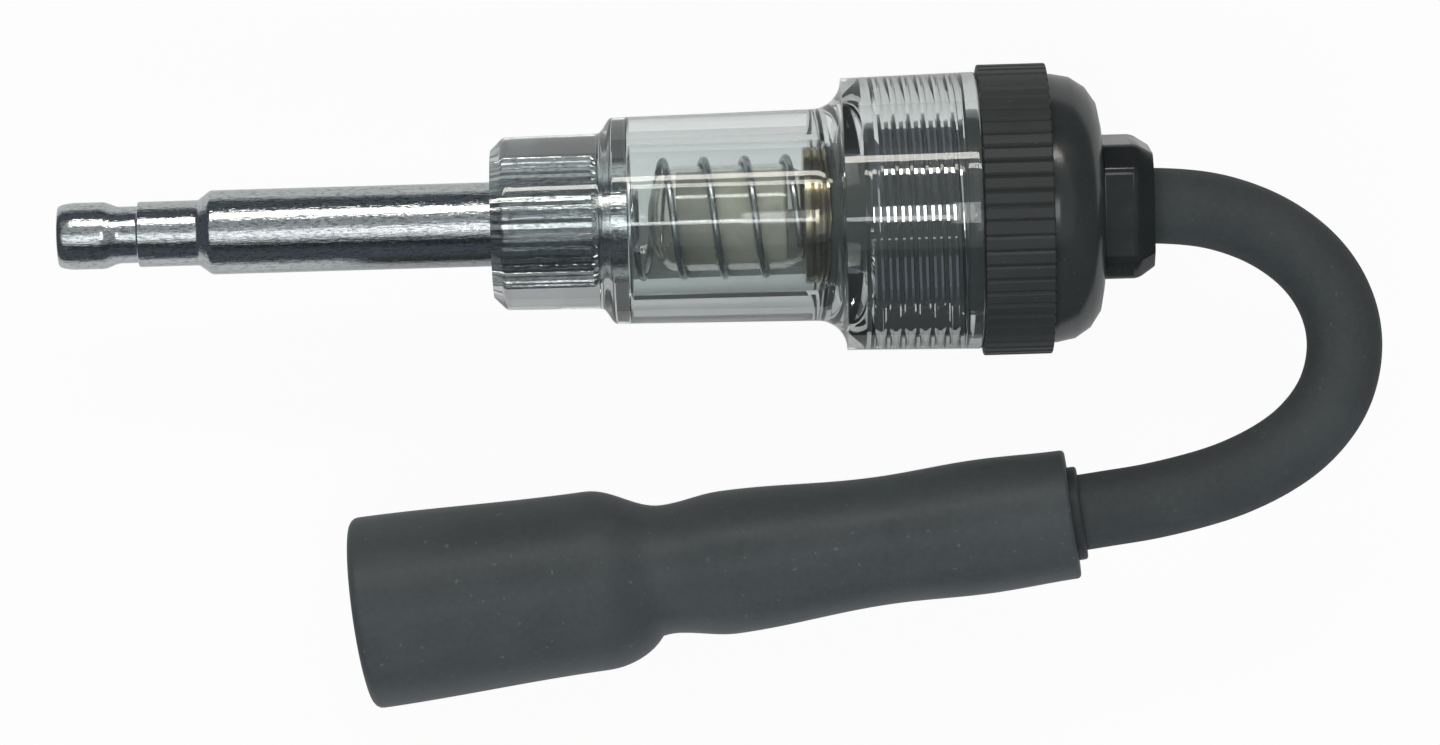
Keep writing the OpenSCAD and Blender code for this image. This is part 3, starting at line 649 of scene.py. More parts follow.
def turned_piece(name, points, material, body, node, steps=TURN_STEPS, closed=False, place=None):
    """A finished piece that is turned in one go."""
    bm = bmesh.new()
    turned(bm, points, steps, closed)
    made(name, bm, material, body, node, place)


def exit_point():
    """Where the lead leaves its collar."""
    return Vector((ends("lead_collar")[1], 0, AXIS_H))


def boot_place():
    """The boot's own frame: X from the sleeve's outer end to the mouth, Z up."""
    along = Vector(MOUNTS["plug_socket"]["axis"]).normalized()
    side = Vector((0, 0, 1)).cross(along).normalized()
    up = along.cross(side)
    turn = Matrix((along, side, up)).transposed().to_4x4()
    last = Vector((*ROUTE[-1], 0))
    return Matrix.Translation(exit_point() + last) @ turn


# Operators

class TESTER_OT_stage(Operator):
    """Camera above the tester, studio lamps, dark cards, and a white floor with papers of painted shadow"""

    bl_idname = "tester.stage"
    bl_label = "Stage"
    # Lamps: power, degrees from overhead towards +Y, place along the tester, length, width, tint
    LAMPS = {
        "strip_lamp": ("strip_power", 45, 0, 1.5, 0.1, (1, 0.96, 0.89)),
        "soft_box": ("box_power", -12, -0.34, 0.6, 0.38, (1, 1, 1)),
        "bar_lamp": ("bar_power", -6, -0.005, 0.07, 0.06, (1, 1, 1)),
        "cap_box": ("cap_power", -3, 0.14, 0.22, 0.3, (1, 1, 1)),
        "fill_lamp": ("fill_power", -58, 0, 1, 0.6, (0.95, 1, 1)),
    }
    # Dark cards: degrees from overhead, share of the lamps' distance, place along the tester, length,
    # width, and whether metal shows the card
    CARDS = {
        "dark_card": (-62, 0.6, 0, 1.8, 0.7, True),
        "high_card": (15, 1.1, 0.28, 0.5, 2.2, False),
    }
    # Painted shadow on papers that only glass shows: start and stop along the tester, low and high side in reaches
    # of the shade, grey
    PAPERS = {
        "front_shade": ("face", "front", -1, 0, 0.16),
        "front_half_shade": ("face", "front", 0, 1, 0.4),
        "barrel_shade": ("barrel", "chamber", -1, 1, 0.12),
        "thread_shade": ("spigot", "rim", -3, -1, 0.03),
        "lamp_shade": ("chamber", "swell", -0.66, 0, 0.09),
        # A painted reflection and shadow: this dark strip stands in for the boot as the housing's lower edge shows
        # it
        "boot_shade": ("chamber", "swell", -2.8, -2.05, 0.05),
        "cove_shade": ("cove", "cove_end", -2.2, 2.2, 0.05),
        # Painted light: a pale paper where the floor under the chamber lies in the tester's shadow
        "chamber_card": ("chamber", "swell", 0.46, 1.3, 0.82),
    }
    # Where the cove's paper of painted shade starts and stops behind the barrel
    COVE = (0.25 * MM, 1.15 * MM)
    # How far the papers lie above the frame's floor, and the floor itself below it
    LIFT = 0.1 * MM
    # Width of the camera's sensor in millimetres, and how far the camera sees in metres
    SENSOR = 36
    VIEW_END = 100
    WALL_SIDES = 64
    WHITE = (1, 1, 1)
    ROOM = (0.94, 1, 1.04)

    def execute(self, context):
        scene = context.scene
        stage = scene.tester_stage
        scene.view_settings.view_transform = "Standard"
        self.camera(scene, stage)
        self.floor(stage)
        self.world(scene, stage)
        lamps = {name: self.lamp(name, stage, *row) for name, row in self.LAMPS.items()}
        lamps["fill_lamp"].visible_glossy = False
        lamps["fill_lamp"].visible_transmission = False
        self.cards(stage)
        self.wall(stage)
        self.shades(context)
        return {"FINISHED"}

    def camera(self, scene, stage):
        data = bpy.data.cameras.new("camera")
        data.sensor_width = self.SENSOR
        data.lens = data.sensor_width * stage.view_rise / stage.view_width
        data.clip_end = self.VIEW_END
        camera = bpy.data.objects.new("camera", data)
        camera.location = (stage.view_x, stage.view_y, AXIS_H + stage.view_rise)
        camera.rotation_euler = (0, 0, stage.view_roll)
        scene.collection.objects.link(camera)
        scene.camera = camera

    def beside(self, angle, distance, along=0):
        """A place beside the tester, that many degrees from overhead towards +Y, facing it."""
        tilt = Matrix.Rotation(-math.radians(angle), 4, "X")
        return Matrix.Translation((along, 0, AXIS_H)) @ tilt @ Matrix.Translation((0, 0, distance))

    def lamp(self, name, stage, power_name, angle, along, length, width, tint):
        data = bpy.data.lights.new(name, "AREA")
        data.shape = "RECTANGLE"
        data.size = length
        data.size_y = width
        data.energy = getattr(stage, power_name)
        data.color = tint
        lamp = bpy.data.objects.new(name, data)
        lamp.visible_camera = False
        lamp.matrix_world = self.beside(angle, stage.lamp_distance, along)
        bpy.context.scene.collection.objects.link(lamp)
        return lamp

    def mirrored(self, name, bm, shade, place):
        """A card that only metal and glass show."""
        finish = new_finish(name)
        emission = finish.node("ShaderNodeEmission", {}, {"Color": rgba(shade)})
        card = made(name, bm, finish.surface(emission), place=place)
        card.visible_camera = False
        card.visible_diffuse = False
        card.visible_shadow = False
        return card

    def sheet(self, name, length, width, shade, place, glossy):
        """A flat card that glass shows, and metal too where glossy."""
        bm = bmesh.new()
        bmesh.ops.create_grid(bm, x_segments=1, y_segments=1, size=0.5)
        bmesh.ops.scale(bm, vec=(length, width, 1), verts=bm.verts[:])
        self.mirrored(name, bm, shade, place).visible_glossy = glossy

    def cards(self, stage):
        """Dark cards: one low beside the tester, and one high over the cap."""
        for name, (degrees, distance, along, length, width, glossy) in self.CARDS.items():
            place = self.beside(degrees, distance * stage.lamp_distance, along)
            self.sheet(name, length, width, stage.card, place, glossy)

    def shades(self, context):
        """Painted shadow: grey papers on the floor where the clear housing shows it, and one light one of painted
        light.
        """
        house = context.scene.tester_housing
        far = context.scene.tester_stage.shade_reach
        face, rim = ends("clear_housing")
        front = face + house.front_len
        barrel = front + house.flare_len
        swell = barrel + house.barrel_len
        at = {
            "face": face, "front": front, "barrel": barrel, "swell": swell, "rim": rim,
            "cove": swell + self.COVE[0], "cove_end": swell + self.COVE[1],
            "chamber": ends("contact_washer")[0],
            "spigot": ends("screw_cap")[0] + context.scene.tester_cap.nose_len,
        }
        for name, (start, stop, low, high, grey) in self.PAPERS.items():
            middle = ((at[start] + at[stop]) / 2, (low + high) / 2 * far, self.LIFT)
            length, width = at[stop] - at[start], (high - low) * far
            self.sheet(name, length, width, (grey, grey, grey), Matrix.Translation(middle), False)

    def wall(self, stage):
        bm = bmesh.new()
        place = Matrix.Translation((0, 0, stage.wall_h / 2))
        bmesh.ops.create_cone(
            bm, segments=self.WALL_SIDES, radius1=stage.wall_r, radius2=stage.wall_r, depth=stage.wall_h,
            matrix=place,
        )
        self.mirrored("grey_wall", bm, stage.wall, Matrix.Identity(4))

    def floor(self, stage):
        bm = bmesh.new()
        bmesh.ops.create_grid(bm, x_segments=1, y_segments=1, size=stage.floor_half)
        finish = new_finish("floor")
        matt = finish.node("ShaderNodeBsdfDiffuse", {}, {"Color": rgba(stage.floor)})
        glow = finish.node("ShaderNodeEmission", {}, {"Color": rgba(self.WHITE), "Strength": 1.0})
        camera, mirrored = self.looks(finish)
        seen = camera * stage.floor_glow + mirrored * stage.floor_mirrored
        white = finish.node("ShaderNodeMixShader", {}, (seen, matt, glow))
        made("floor", bm, finish.surface(white), place=Matrix.Translation((0, 0, -self.LIFT)))

    def looks(self, finish):
        """One where the camera looks, and one where metal or glass does."""
        ways = ["Is Camera Ray", "Is Glossy Ray", "Is Transmission Ray"]
        camera, glossy, through = (finish.node("ShaderNodeLightPath", {}, output=way) for way in ways)
        return camera, glossy.either(through)

    def world(self, scene, stage):
        scene.world = bpy.data.worlds.new("studio")
        finish = Finish(scene.world)
        room = finish.node("ShaderNodeBackground", {}, {"Color": rgba(self.ROOM), "Strength": stage.sky})
        white = finish.node("ShaderNodeBackground", {}, {"Color": rgba(self.WHITE), "Strength": 1.0})
        camera = self.looks(finish)[0]
        finish.surface(finish.node("ShaderNodeMixShader", {}, (camera, room, white)))


class TESTER_OT_boot(Operator):
    """Rubber plug boot with its sleeve"""

    bl_idname = "tester.boot"
    bl_label = "Plug boot"
    # Steps from each key of the boot's outline to the next
    SMOOTH = 14
    # Where the crease lies, as a share of the shoulder's length
    CREASE_AT = 0.22
    # How quickly the shoulder rounds out behind the crease: less is quicker
    FULLNESS = 0.6

    def execute(self, context):
        boot = context.scene.tester_boot
        lead_d = context.scene.tester_lead.lead_d
        shades = context.scene.tester_finish
        self.sleeve(boot, lead_d, shades)
        runs = [
            boot.tail_len, boot.dip_len, boot.swell_len, boot.waist_len, boot.shoulder_len, boot.skirt_len,
        ]
        radii = [boot.end_r, boot.tail_r, boot.dip_r, boot.swell_r, boot.waist_r, boot.skirt_r, boot.mouth_r]
        stations = [boot.sleeve_out + sum(runs[:i]) for i in range(len(radii))]
        swell, waist, skirt, mouth = stations[3:]
        end_round, step, step_round = 0.4 * MM, 1 * MM, 0.3 * MM
        outer = eased(list(zip(stations, radii)), self.SMOOTH)[:-1]
        outer[0] = (*outer[0], end_round)
        cavity = mouth - boot.cavity_len
        sleeve_r = boot.sleeve_d / 2
        inner = [
            (mouth, boot.mouth_r, boot.mouth_round), (mouth, boot.cavity_d / 2, boot.mouth_round),
            (cavity + step, boot.cavity_d / 2, step / 2), (cavity, boot.bore_d / 2, step_round),
            (boot.sleeve_len, boot.bore_d / 2), (boot.sleeve_len, sleeve_r), (boot.sleeve_out, sleeve_r),
        ]
        bm = bmesh.new()
        turned(bm, outer + inner, closed=True)
        self.lean_shoulder(bm, boot, swell, waist + self.CREASE_AT * boot.shoulder_len, skirt)
        material = rubber("boot_rubber", shades.boot)
        made("plug_boot_rubber", bm, material, "lead", "plug_boot", boot_place())
        return {"FINISHED"}

    def lean_shoulder(self, bm, boot, swell, crease, skirt):
        """On the side away from the tester, draws the waist in to a crease and rounds the shoulder out."""
        crease_r = boot.waist_r - boot.crease_depth
        for vert in bm.verts:
            radius = math.hypot(vert.co.y, vert.co.z)
            if not swell < vert.co.x < skirt or radius < crease_r:
                continue
            if vert.co.x < crease:
                t = (vert.co.x - swell) / (crease - swell)
                target = radius - boot.crease_depth * t * t
            else:
                t = (vert.co.x - crease) / (skirt - crease)
                target = crease_r + (boot.skirt_r - crease_r) * math.sin(math.pi / 2 * t) ** self.FULLNESS
            lean = max(0, vert.co.y / radius)
            across = 1 + lean * (target / radius - 1)
            vert.co.y *= across
            vert.co.z *= across

    def sleeve(self, boot, lead_d, shades):
        edge = 0.3 * MM
        bore, outer, back = lead_d / 2 + LEAD_GAP, boot.sleeve_d / 2, boot.sleeve_len
        turned_piece(
            "boot_sleeve_rubber", [(0, bore), (0, outer, edge), (back, outer), (back, bore)],
            rubber("sleeve_rubber", shades.sleeve), "lead", "boot_sleeve", closed=True,
            place=boot_place(),
        )


class TESTER_OT_lead(Operator):
    """Ignition lead, looped from the collar back to the boot"""

    bl_idname = "tester.lead"
    bl_label = "Lead"
    # How far the lead runs into the collar and into the sleeve
    INSIDE = 3 * MM
    # Steps round half of the lead, and along each stretch of its route
    ROUND = 10
    STRETCH = 6

    def execute(self, context):
        lead_d = context.scene.tester_lead.lead_d
        start = exit_point()
        inside = Vector((self.INSIDE, 0, 0))
        points = [start + Vector((x, y, 0)) for x, y in ROUTE]
        points = [start - inside, *points, points[-1] + boot_place().to_3x3() @ inside]
        curve = bpy.data.curves.new("ignition_lead", "CURVE")
        curve.dimensions = "3D"
        curve.bevel_depth = lead_d / 2
        curve.bevel_resolution = self.ROUND
        curve.use_fill_caps = True
        curve.resolution_u = self.STRETCH
        spline = curve.splines.new("NURBS")
        spline.points.add(len(points) - 1)
        for knot, point in zip(spline.points, points):
            knot.co = (*point, 1)
        spline.use_endpoint_u = True
        spline.order_u = 4
        shade = context.scene.tester_finish.lead
        curve.materials.append(
            rubber("lead_rubber", shade, rough=0.65, grain=5200, relief=1.2e-5, dust_share=0.2)
        )
        lead = bpy.data.objects.new("ignition_lead", curve)
        context.scene.collection.objects.link(lead)
        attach(lead, "lead")
        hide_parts("lead_jacket")
        return {"FINISHED"}


class TESTER_OT_collar(Operator):
    """Square collar with cut corners on the lead behind the cap"""

    bl_idname = "tester.collar"
    bl_label = "Collar"
    # Faces with more area than this are flat sides, in square metres
    FLAT = 3 * MM * MM
    ROUND = 3
    BORE_SIDES = 48

    def execute(self, context):
        lead = context.scene.tester_lead
        start, stop = ends("lead_collar")
        straight = stop - lead.collar_bevel
        drawn = 1 - 2 * lead.collar_draw / lead.collar_w
        bm = bmesh.new()
        bmesh.ops.create_cube(bm, size=1)
        bmesh.ops.scale(bm, vec=(straight - start, lead.collar_w, lead.collar_w), verts=bm.verts[:])
        bmesh.ops.translate(bm, vec=((start + straight) / 2, 0, 0), verts=bm.verts[:])
        self.bevel(bm, [e for e in bm.edges if self.along(e)], lead.collar_corner, 1)
        both_ends = [f for f in bm.faces if self.at(f, start) or self.at(f, straight)]
        bmesh.ops.delete(bm, geom=both_ends, context="FACES_ONLY")
        new = bmesh.ops.extrude_edge_only(bm, edges=open_loop(bm, straight))["geom"]
        tip = [part for part in new if isinstance(part, bmesh.types.BMVert)]
        bmesh.ops.scale(bm, vec=(1, drawn, drawn), verts=tip)
        bmesh.ops.translate(bm, vec=(lead.collar_bevel, 0, 0), verts=tip)
        self.bevel(bm, [e for e in bm.edges if not e.is_boundary], lead.collar_round, self.ROUND)
        flats = [face for face in bm.faces if face.calc_area() > self.FLAT]
        bmesh.ops.inset_individual(bm, faces=flats, thickness=HOLD, use_even_offset=True)
        self.bore(bm, start, stop, lead.lead_d / 2 + LEAD_GAP)
        bmesh.ops.rotate(bm, verts=bm.verts[:], matrix=Matrix.Rotation(lead.collar_turn, 3, "X"))
        shade = context.scene.tester_finish.collar
        material = black_moulding("collar_plastic", shade, rough=0.16, grain=5000, relief=3e-6, sheen=0.36)
        made("lead_collar_block", bm, material, "lead", "lead_collar")
        return {"FINISHED"}

    def along(self, edge):
        """Whether an edge runs along the tester."""
        return abs(edge.verts[0].co.x - edge.verts[1].co.x) > WELD

    def at(self, part, x):
        """Whether a face lies square across the axis at x."""
        return all(abs(vert.co.x - x) < WELD for vert in part.verts)

    def bevel(self, bm, edges, offset, segments):
        bmesh.ops.bevel(
            bm, geom=edges, offset=offset, segments=segments, profile=0.5, affect="EDGES", material=-1,
            clamp_overlap=True,
        )

    def bore(self, bm, start, stop, radius):
        """Closes both ends with a flat face round a hole, and joins the holes."""
        rim = open_loop(bm, start)
        turn = Matrix.Translation((start, 0, 0)) @ Matrix.Rotation(math.pi / 2, 4, "Y")
        bmesh.ops.create_circle(bm, segments=self.BORE_SIDES, radius=radius, matrix=turn)
        circle = [edge for edge in bm.edges if edge.is_wire]
        bmesh.ops.triangle_fill(bm, edges=rim + circle, use_beauty=True)
        drawn_out(bm, start, stop, radius)
        bmesh.ops.triangle_fill(bm, edges=open_loop(bm, stop), use_beauty=True)


class TESTER_OT_cap(Operator):
    """Black screw cap: lamp nose, threaded spigot, ribbed grip ring and dome"""

    bl_idname = "tester.cap"
    bl_label = "Screw cap"
    # Rows of points for each step of the grip ring, and how deep the rows of its groove lie
    ROWS = 10
    GROOVE = {9: 0.5, 0: 1.0, 1: 0.5}

    def execute(self, context):
        cap = context.scene.tester_cap
        thread = context.scene.tester_thread
        nose, back = ends("screw_cap")
        spigot = nose + cap.nose_len
        grip = spigot + cap.spigot_len
        dome = grip + cap.grip_len
        seat = nose + cap.lamp_bore_len
        shoulder = grip - cap.shoulder_len
        root_r, crest_r = thread.root_d / 2, thread.crest_d / 2
        edge, small = 0.3 * MM, 0.15 * MM
        start, stop = spigot + 2 * edge, shoulder - 2 * edge
        bm = bmesh.new()
        foot_half, top_half = thread.foot_half, thread.crest_half
        screw(bm, thread, spigot + thread.pitch, root_r, foot_half, crest_r, top_half, start, stop)
        drawn_out(bm, start, start - small, root_r)
        drawn_out(bm, stop, stop + small, root_r)
        lead_r, lamp_r, grip_r = cap.lead_bore_d / 2, cap.lamp_bore_d / 2, cap.grip_d / 2
        shoulder_r, dome_r, nose_r = cap.shoulder_d / 2, cap.dome_d / 2, cap.nose_d / 2
        steps = self.ROWS * cap.grooves
        turned(bm, [
            (stop + edge, root_r), (shoulder, root_r), (shoulder, shoulder_r), (grip, shoulder_r),
            (grip, grip_r, small), (dome, grip_r, small), (dome, dome_r), (back, dome_r, cap.dome_round),
            (back, lead_r, edge), (seat, lead_r), (seat, lamp_r), (nose, lamp_r, edge), (nose, nose_r, edge),
            (spigot, nose_r), (spigot, root_r, edge), (start - edge, root_r),
        ], steps)
        self.grooves(bm, steps, grip_r, cap.groove_depth)
        bridged(bm, stop + small, stop + edge)
        bridged(bm, start - small, start - edge)
        for face in bm.faces:
            face.material_index = int(face.calc_center_median().x > dome)
        shade = context.scene.tester_finish.cap
        material = black_moulding("cap_plastic", shade, rough=0.5, sheen=0.3)
        piece = made("screw_cap_moulding", bm, material, "cap", "screw_cap")
        piece.data.materials.append(black_moulding("cap_satin", shade, rough=0.2, sheen=0.5))
        return {"FINISHED"}

    def grooves(self, bm, steps, grip_r, depth):
        """Sinks the rows of each groove round the grip ring."""
        ring = [vert for vert in bm.verts if math.hypot(vert.co.y, vert.co.z) > grip_r - depth / 2]
        for row, part in self.GROOVE.items():
            sunk = (grip_r - depth * part) / grip_r
            verts = [vert for vert in ring if row_of(vert, steps) % self.ROWS == row]
            bmesh.ops.scale(bm, vec=(1, sunk, sunk), verts=verts)


class TESTER_OT_housing(Operator):
    """Clear housing, moulded round the rod's knurl and threaded for the cap"""

    bl_idname = "tester.housing"
    bl_label = "Clear housing"

    def execute(self, context):
        house = context.scene.tester_housing
        thread = context.scene.tester_thread
        rod = context.scene.tester_rod
        face, rim = ends("clear_housing")
        flare = face + house.front_len
        barrel = flare + house.flare_len
        swell = barrel + house.barrel_len
        socket = swell + house.swell_len
        chamber = ends("contact_washer")[0]
        step = chamber + house.chamber_len
        relief = rim - house.relief_len
        grown = house.draft / 2
        front_r, barrel_r, socket_r = house.front_d / 2, house.barrel_d / 2, house.socket_d / 2
        minor_r = thread.root_d / 2 + thread.radial_gap
        major_r = thread.crest_d / 2 + thread.radial_gap
        slope = (thread.foot_half - thread.crest_half) / (thread.crest_d - thread.root_d) * 2
        foot_half = thread.foot_half - thread.radial_gap * slope + thread.flank_gap
        top_half = thread.crest_half - thread.radial_gap * slope + thread.flank_gap
        chamber_r = house.chamber_d / 2
        edge, small, play, seat = 0.6 * MM, 0.3 * MM, 0.1 * MM, 0.02 * MM
        chamber_round, outer_round, inner_round = 0.25 * MM, 0.3 * MM, 0.15 * MM
        start, stop = step + edge + play, relief
        bond_r = rod.rod_d / 2 + rod.knurl_rise - rod.knurl_depth - house.root_gap
        bm = bmesh.new()
        spigot = ends("screw_cap")[0] + context.scene.tester_cap.nose_len
        screw(bm, thread, spigot + thread.pitch, minor_r, foot_half, major_r, top_half, start, stop)
        drawn_out(bm, start, start - small, minor_r)
        drawn_out(bm, stop, stop + small, house.relief_d / 2)
        turned(bm, [
            (start - edge, minor_r), (step, minor_r), (step - house.funnel_len, chamber_r),
            (chamber, chamber_r, chamber_round), (chamber - seat, bond_r), (face, bond_r),
            (face, front_r - house.front_bevel), (face + house.front_bevel, front_r, outer_round),
            *eased([(flare, front_r + grown / 2), (barrel, barrel_r)]),
            *cove(swell, barrel_r + grown, socket, socket_r),
            (rim, socket_r + grown, outer_round), (rim, house.relief_d / 2, inner_round),
            (stop + edge, house.relief_d / 2),
        ], THREAD_STEPS)
        bridged(bm, start - small, start - edge)
        bridged(bm, stop + small, stop + edge)
        shade = context.scene.tester_finish.plastic
        material = clear_moulding("clear_plastic", shade, index=1.49, rough=0.015, haze=0.12)
        made("clear_housing_moulding", bm, material, "housing", "clear_housing")
        return {"FINISHED"}


class TESTER_OT_rod(Operator):
    """Steel terminal rod with its snap head, knurl and rivet"""

    bl_idname = "tester.rod"
    bl_label = "Terminal rod"
    # Rows of points for each tooth of the knurl
    ROWS = 4

    def execute(self, context):
        rod = context.scene.tester_rod
        tip, rivet_end = ends("terminal_rod")
        face = ends("clear_housing")[0]
        chamber, washer = ends("contact_washer")
        snap = tip + rod.head_len
        neck = snap + rod.snap_len
        cone = neck + rod.neck_len
        head_r, neck_r, rod_r = rod.head_d / 2, rod.neck_d / 2, rod.rod_d / 2
        snap_r = head_r - rod.snap_depth
        bulge = (rod.head_len - rod.head_land) / 2
        knurl = face + rod.knurl_inset
        knurl_end = knurl + rod.knurl_len
        knurl_r = rod_r + rod.knurl_rise
        run_out = 0.4 * MM
        rivet_r = rod.rivet_d / 2
        rivet_head_r = rivet_r + rod.rivet_lip
        edge, gap, lip_round = 0.3 * MM, 0.1 * MM, 0.1 * MM
        tip_round, groove_round, neck_round, cone_round = 0.25 * MM, 0.12 * MM, 0.15 * MM, 0.2 * MM
        crown = cove(tip + bulge, head_r, tip, head_r - rod.tip_drop)
        fall = eased([(snap - bulge, head_r), (snap, snap_r)])
        steps = self.ROWS * rod.knurl_teeth
        bm = bmesh.new()
        turned(bm, [
            (tip, 0), (tip, head_r - rod.tip_drop, tip_round), *reversed(crown[:-1]), *fall,
            (neck, snap_r, groove_round), (neck, neck_r, groove_round), (cone, neck_r, neck_round),
            (cone + rod.cone_len, rod_r, cone_round), (knurl - run_out, rod_r), (knurl, knurl_r),
            (knurl_end, knurl_r), (knurl_end + run_out, rod_r), (chamber, rod_r), (chamber, rivet_r),
            (washer + gap, rivet_r), (washer + gap, rivet_head_r, lip_round),
            (rivet_end, rivet_head_r - edge, edge), (rivet_end, 0),
        ], steps)
        self.knurl(bm, steps, knurl, knurl_end, knurl_r, rod.knurl_depth)
        material = drawn_steel("plated_steel", context.scene.tester_finish.steel)
        made("terminal_rod_steel", bm, material, "housing", "terminal_rod")
        return {"FINISHED"}

    def knurl(self, bm, steps, start, stop, crest_r, depth):
        """Draws one row of each tooth in to make the grooves."""
        sunk = (crest_r - depth) / crest_r
        grooves = [
            vert for vert in bm.verts
            if start - WELD < vert.co.x < stop + WELD
            and row_of(vert, steps) % self.ROWS == 0
        ]
        bmesh.ops.scale(bm, vec=(1, sunk, sunk), verts=grooves)


class TESTER_OT_spring(Operator):
    """Contact spring and the washer under it"""

    bl_idname = "tester.spring"
    bl_label = "Spring and washer"
    # Steps along each turn of the wire, and round it
    TURN = 48
    ROUND = 12

    def execute(self, context):
        spring = context.scene.tester_spring
        shades = context.scene.tester_finish
        self.washer(context, shades)
        start, stop = ends("lamp_spring")
        wire_r = spring.wire_d / 2
        coil_r = reach("lamp_spring") - wire_r
        rise = stop - start - spring.wire_d
        steps = round(self.TURN * spring.turns)
        bm = bmesh.new()
        place = Matrix.Translation((start + wire_r, 0, -coil_r)) @ Matrix.Rotation(math.pi / 2, 4, "X")
        bmesh.ops.create_circle(bm, cap_ends=True, segments=self.ROUND, radius=wire_r, matrix=place)
        bmesh.ops.rotate(bm, verts=bm.verts[:], matrix=Matrix.Rotation(spring.start, 3, "X"))
        bmesh.ops.spin(
            bm, geom=bm.verts[:] + bm.edges[:] + bm.faces[:], cent=(0, 0, 0), axis=(1, 0, 0),
            dvec=(rise / steps, 0, 0), angle=2 * math.pi * spring.turns, steps=steps,
        )
        material = plain_metal("spring_steel", shades.spring, rough=0.2, tarnish=0.7)
        coil = made("lamp_spring_wire", bm, material, node="lamp_spring")
        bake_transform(coil)
        return {"FINISHED"}

    def washer(self, context, shades):
        front, back = ends("contact_washer")
        edge, gap, lift = 0.1 * MM, 0.1 * MM, 0.03 * MM
        hole = context.scene.tester_rod.rivet_d / 2 + gap
        rim = reach("contact_washer")
        face = front + lift
        turned_piece(
            "contact_washer_plate", [(face, hole), (face, rim, edge), (back, rim, edge), (back, hole, edge)],
            plain_metal("plated_brass", shades.plating, rough=0.25), "housing", "contact_washer",
            closed=True,
        )


